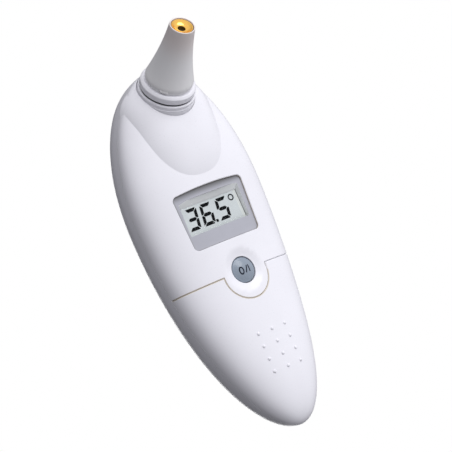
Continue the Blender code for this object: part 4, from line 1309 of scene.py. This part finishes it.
def dress_cad_nodes():
    """Give each CAD node that stays its own finish, and give the two domes their own meshes."""
    for slot, names in CAD_FINISHES.items():
        for name in names.split():
            mesh = frame["nodes"][name].data
            mesh.materials.clear()
            mesh.materials.append(MATERIALS[slot])
            mesh.shade_smooth()
            mesh.set_sharp_from_angle(angle=math.radians(35))
    for button, travel, foot in (("power_button", 0.8 * MM, 0), ("scan_button", 0.6 * MM, 1)):
        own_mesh(frame["nodes"][button + "_dome"])


# ---------------------------------------------------------------- stage

def camera():
    """The camera, from above on the left of the head."""
    toward = CAMERA_TOWARD.normalized()
    right = CAMERA_UP.cross(toward).normalized()
    turn = Matrix((right, toward.cross(right), toward)).transposed().to_4x4()
    data = bpy.data.cameras.new("camera")
    data.lens = CAMERA_LENS
    data.clip_start = 0.01
    obj = linked("camera", data)
    obj.matrix_world = Matrix.Translation(CAMERA_PLACE) @ turn
    bpy.context.scene.camera = obj


def floor():
    """A white floor that shows to the camera only, and not from below."""
    shape = bmesh.new()
    bmesh.ops.create_grid(shape, x_segments=1, y_segments=1, size=6.0)
    bmesh.ops.translate(shape, vec=(0.0, 0.0, -0.2 * MM), verts=shape.verts)
    material = bpy.data.materials.new("floor_white")
    material.use_nodes = True
    tree = material.node_tree
    tree.nodes.clear()
    glow = node(tree, "Emission", Color=WHITE, Strength=1.0).outputs[0]
    clear = node(tree, "BsdfTransparent").outputs[0]
    mixed_shaders(tree, node(tree, "NewGeometry").outputs["Backfacing"], glow, clear,
                  "OutputMaterial")
    obj = linked("floor", mesh_of("floor", shape, material))
    obj.visible_diffuse = False
    obj.visible_glossy = False
    obj.visible_transmission = False
    obj.visible_shadow = False


def world():
    """White behind the object, and a soft studio dome that is brightest at the key."""
    made = bpy.data.worlds.new("studio")
    bpy.context.scene.world = made
    made.use_nodes = True
    tree = made.node_tree
    tree.nodes.clear()
    place = node(tree, "TexCoord").outputs["Generated"]
    share = node(tree, "MapRange", Value=dot(tree, place, KEY_DIRECTION.normalized()),
                 From_Min=-1.0, From_Max=1.0, To_Min=0.0, To_Max=1.0)
    ramp = node(tree, "ValToRGB", Fac=share.outputs["Result"])
    ramp.color_ramp.interpolation = "EASE"
    stops = ramp.color_ramp.elements
    stops[0].position, stops[0].color = DOME_START, (*DOME_DARK, 1.0)
    stops[1].position, stops[1].color = DOME_END, (*DOME_LIGHT, 1.0)
    dome = node(tree, "Background", Color=ramp.outputs["Color"], Strength=1.0)
    white = node(tree, "Background", Color=WHITE, Strength=1.0)
    mixed_shaders(tree, node(tree, "LightPath").outputs["Is Camera Ray"], dome.outputs[0],
                  white.outputs[0], "OutputWorld")


def soft_light(name, direction, size, power):
    """A large round light that shines on the object and isn't seen itself."""
    data = bpy.data.lights.new(name, "AREA")
    data.shape = "DISK"
    data.size = size
    data.energy = power
    obj = linked(name, data)
    toward = direction.normalized()
    obj.location = toward * LIGHT_DISTANCE
    obj.rotation_mode = "QUATERNION"
    obj.rotation_quaternion = toward.to_track_quat("Z", "Y")
    obj.visible_camera = False


# ---------------------------------------------------------------- the scene

camera()
shell = housing()
rear_cover(copy_of(shell))
battery_cover(copy_of(shell))
front_cover(shell)
for build in (bezel, lens, lcd, digits, power_button, scan_button, probe_cone, probe_rings,
              sensor, screws, coin_cell, battery_tray, label, dress_cad_nodes, floor, world):
    build()
soft_light("key", KEY_DIRECTION, KEY_SIZE, KEY_POWER)
soft_light("fill", FILL_DIRECTION, FILL_SIZE, FILL_POWER)
bpy.context.scene.view_settings.view_transform = "Standard"
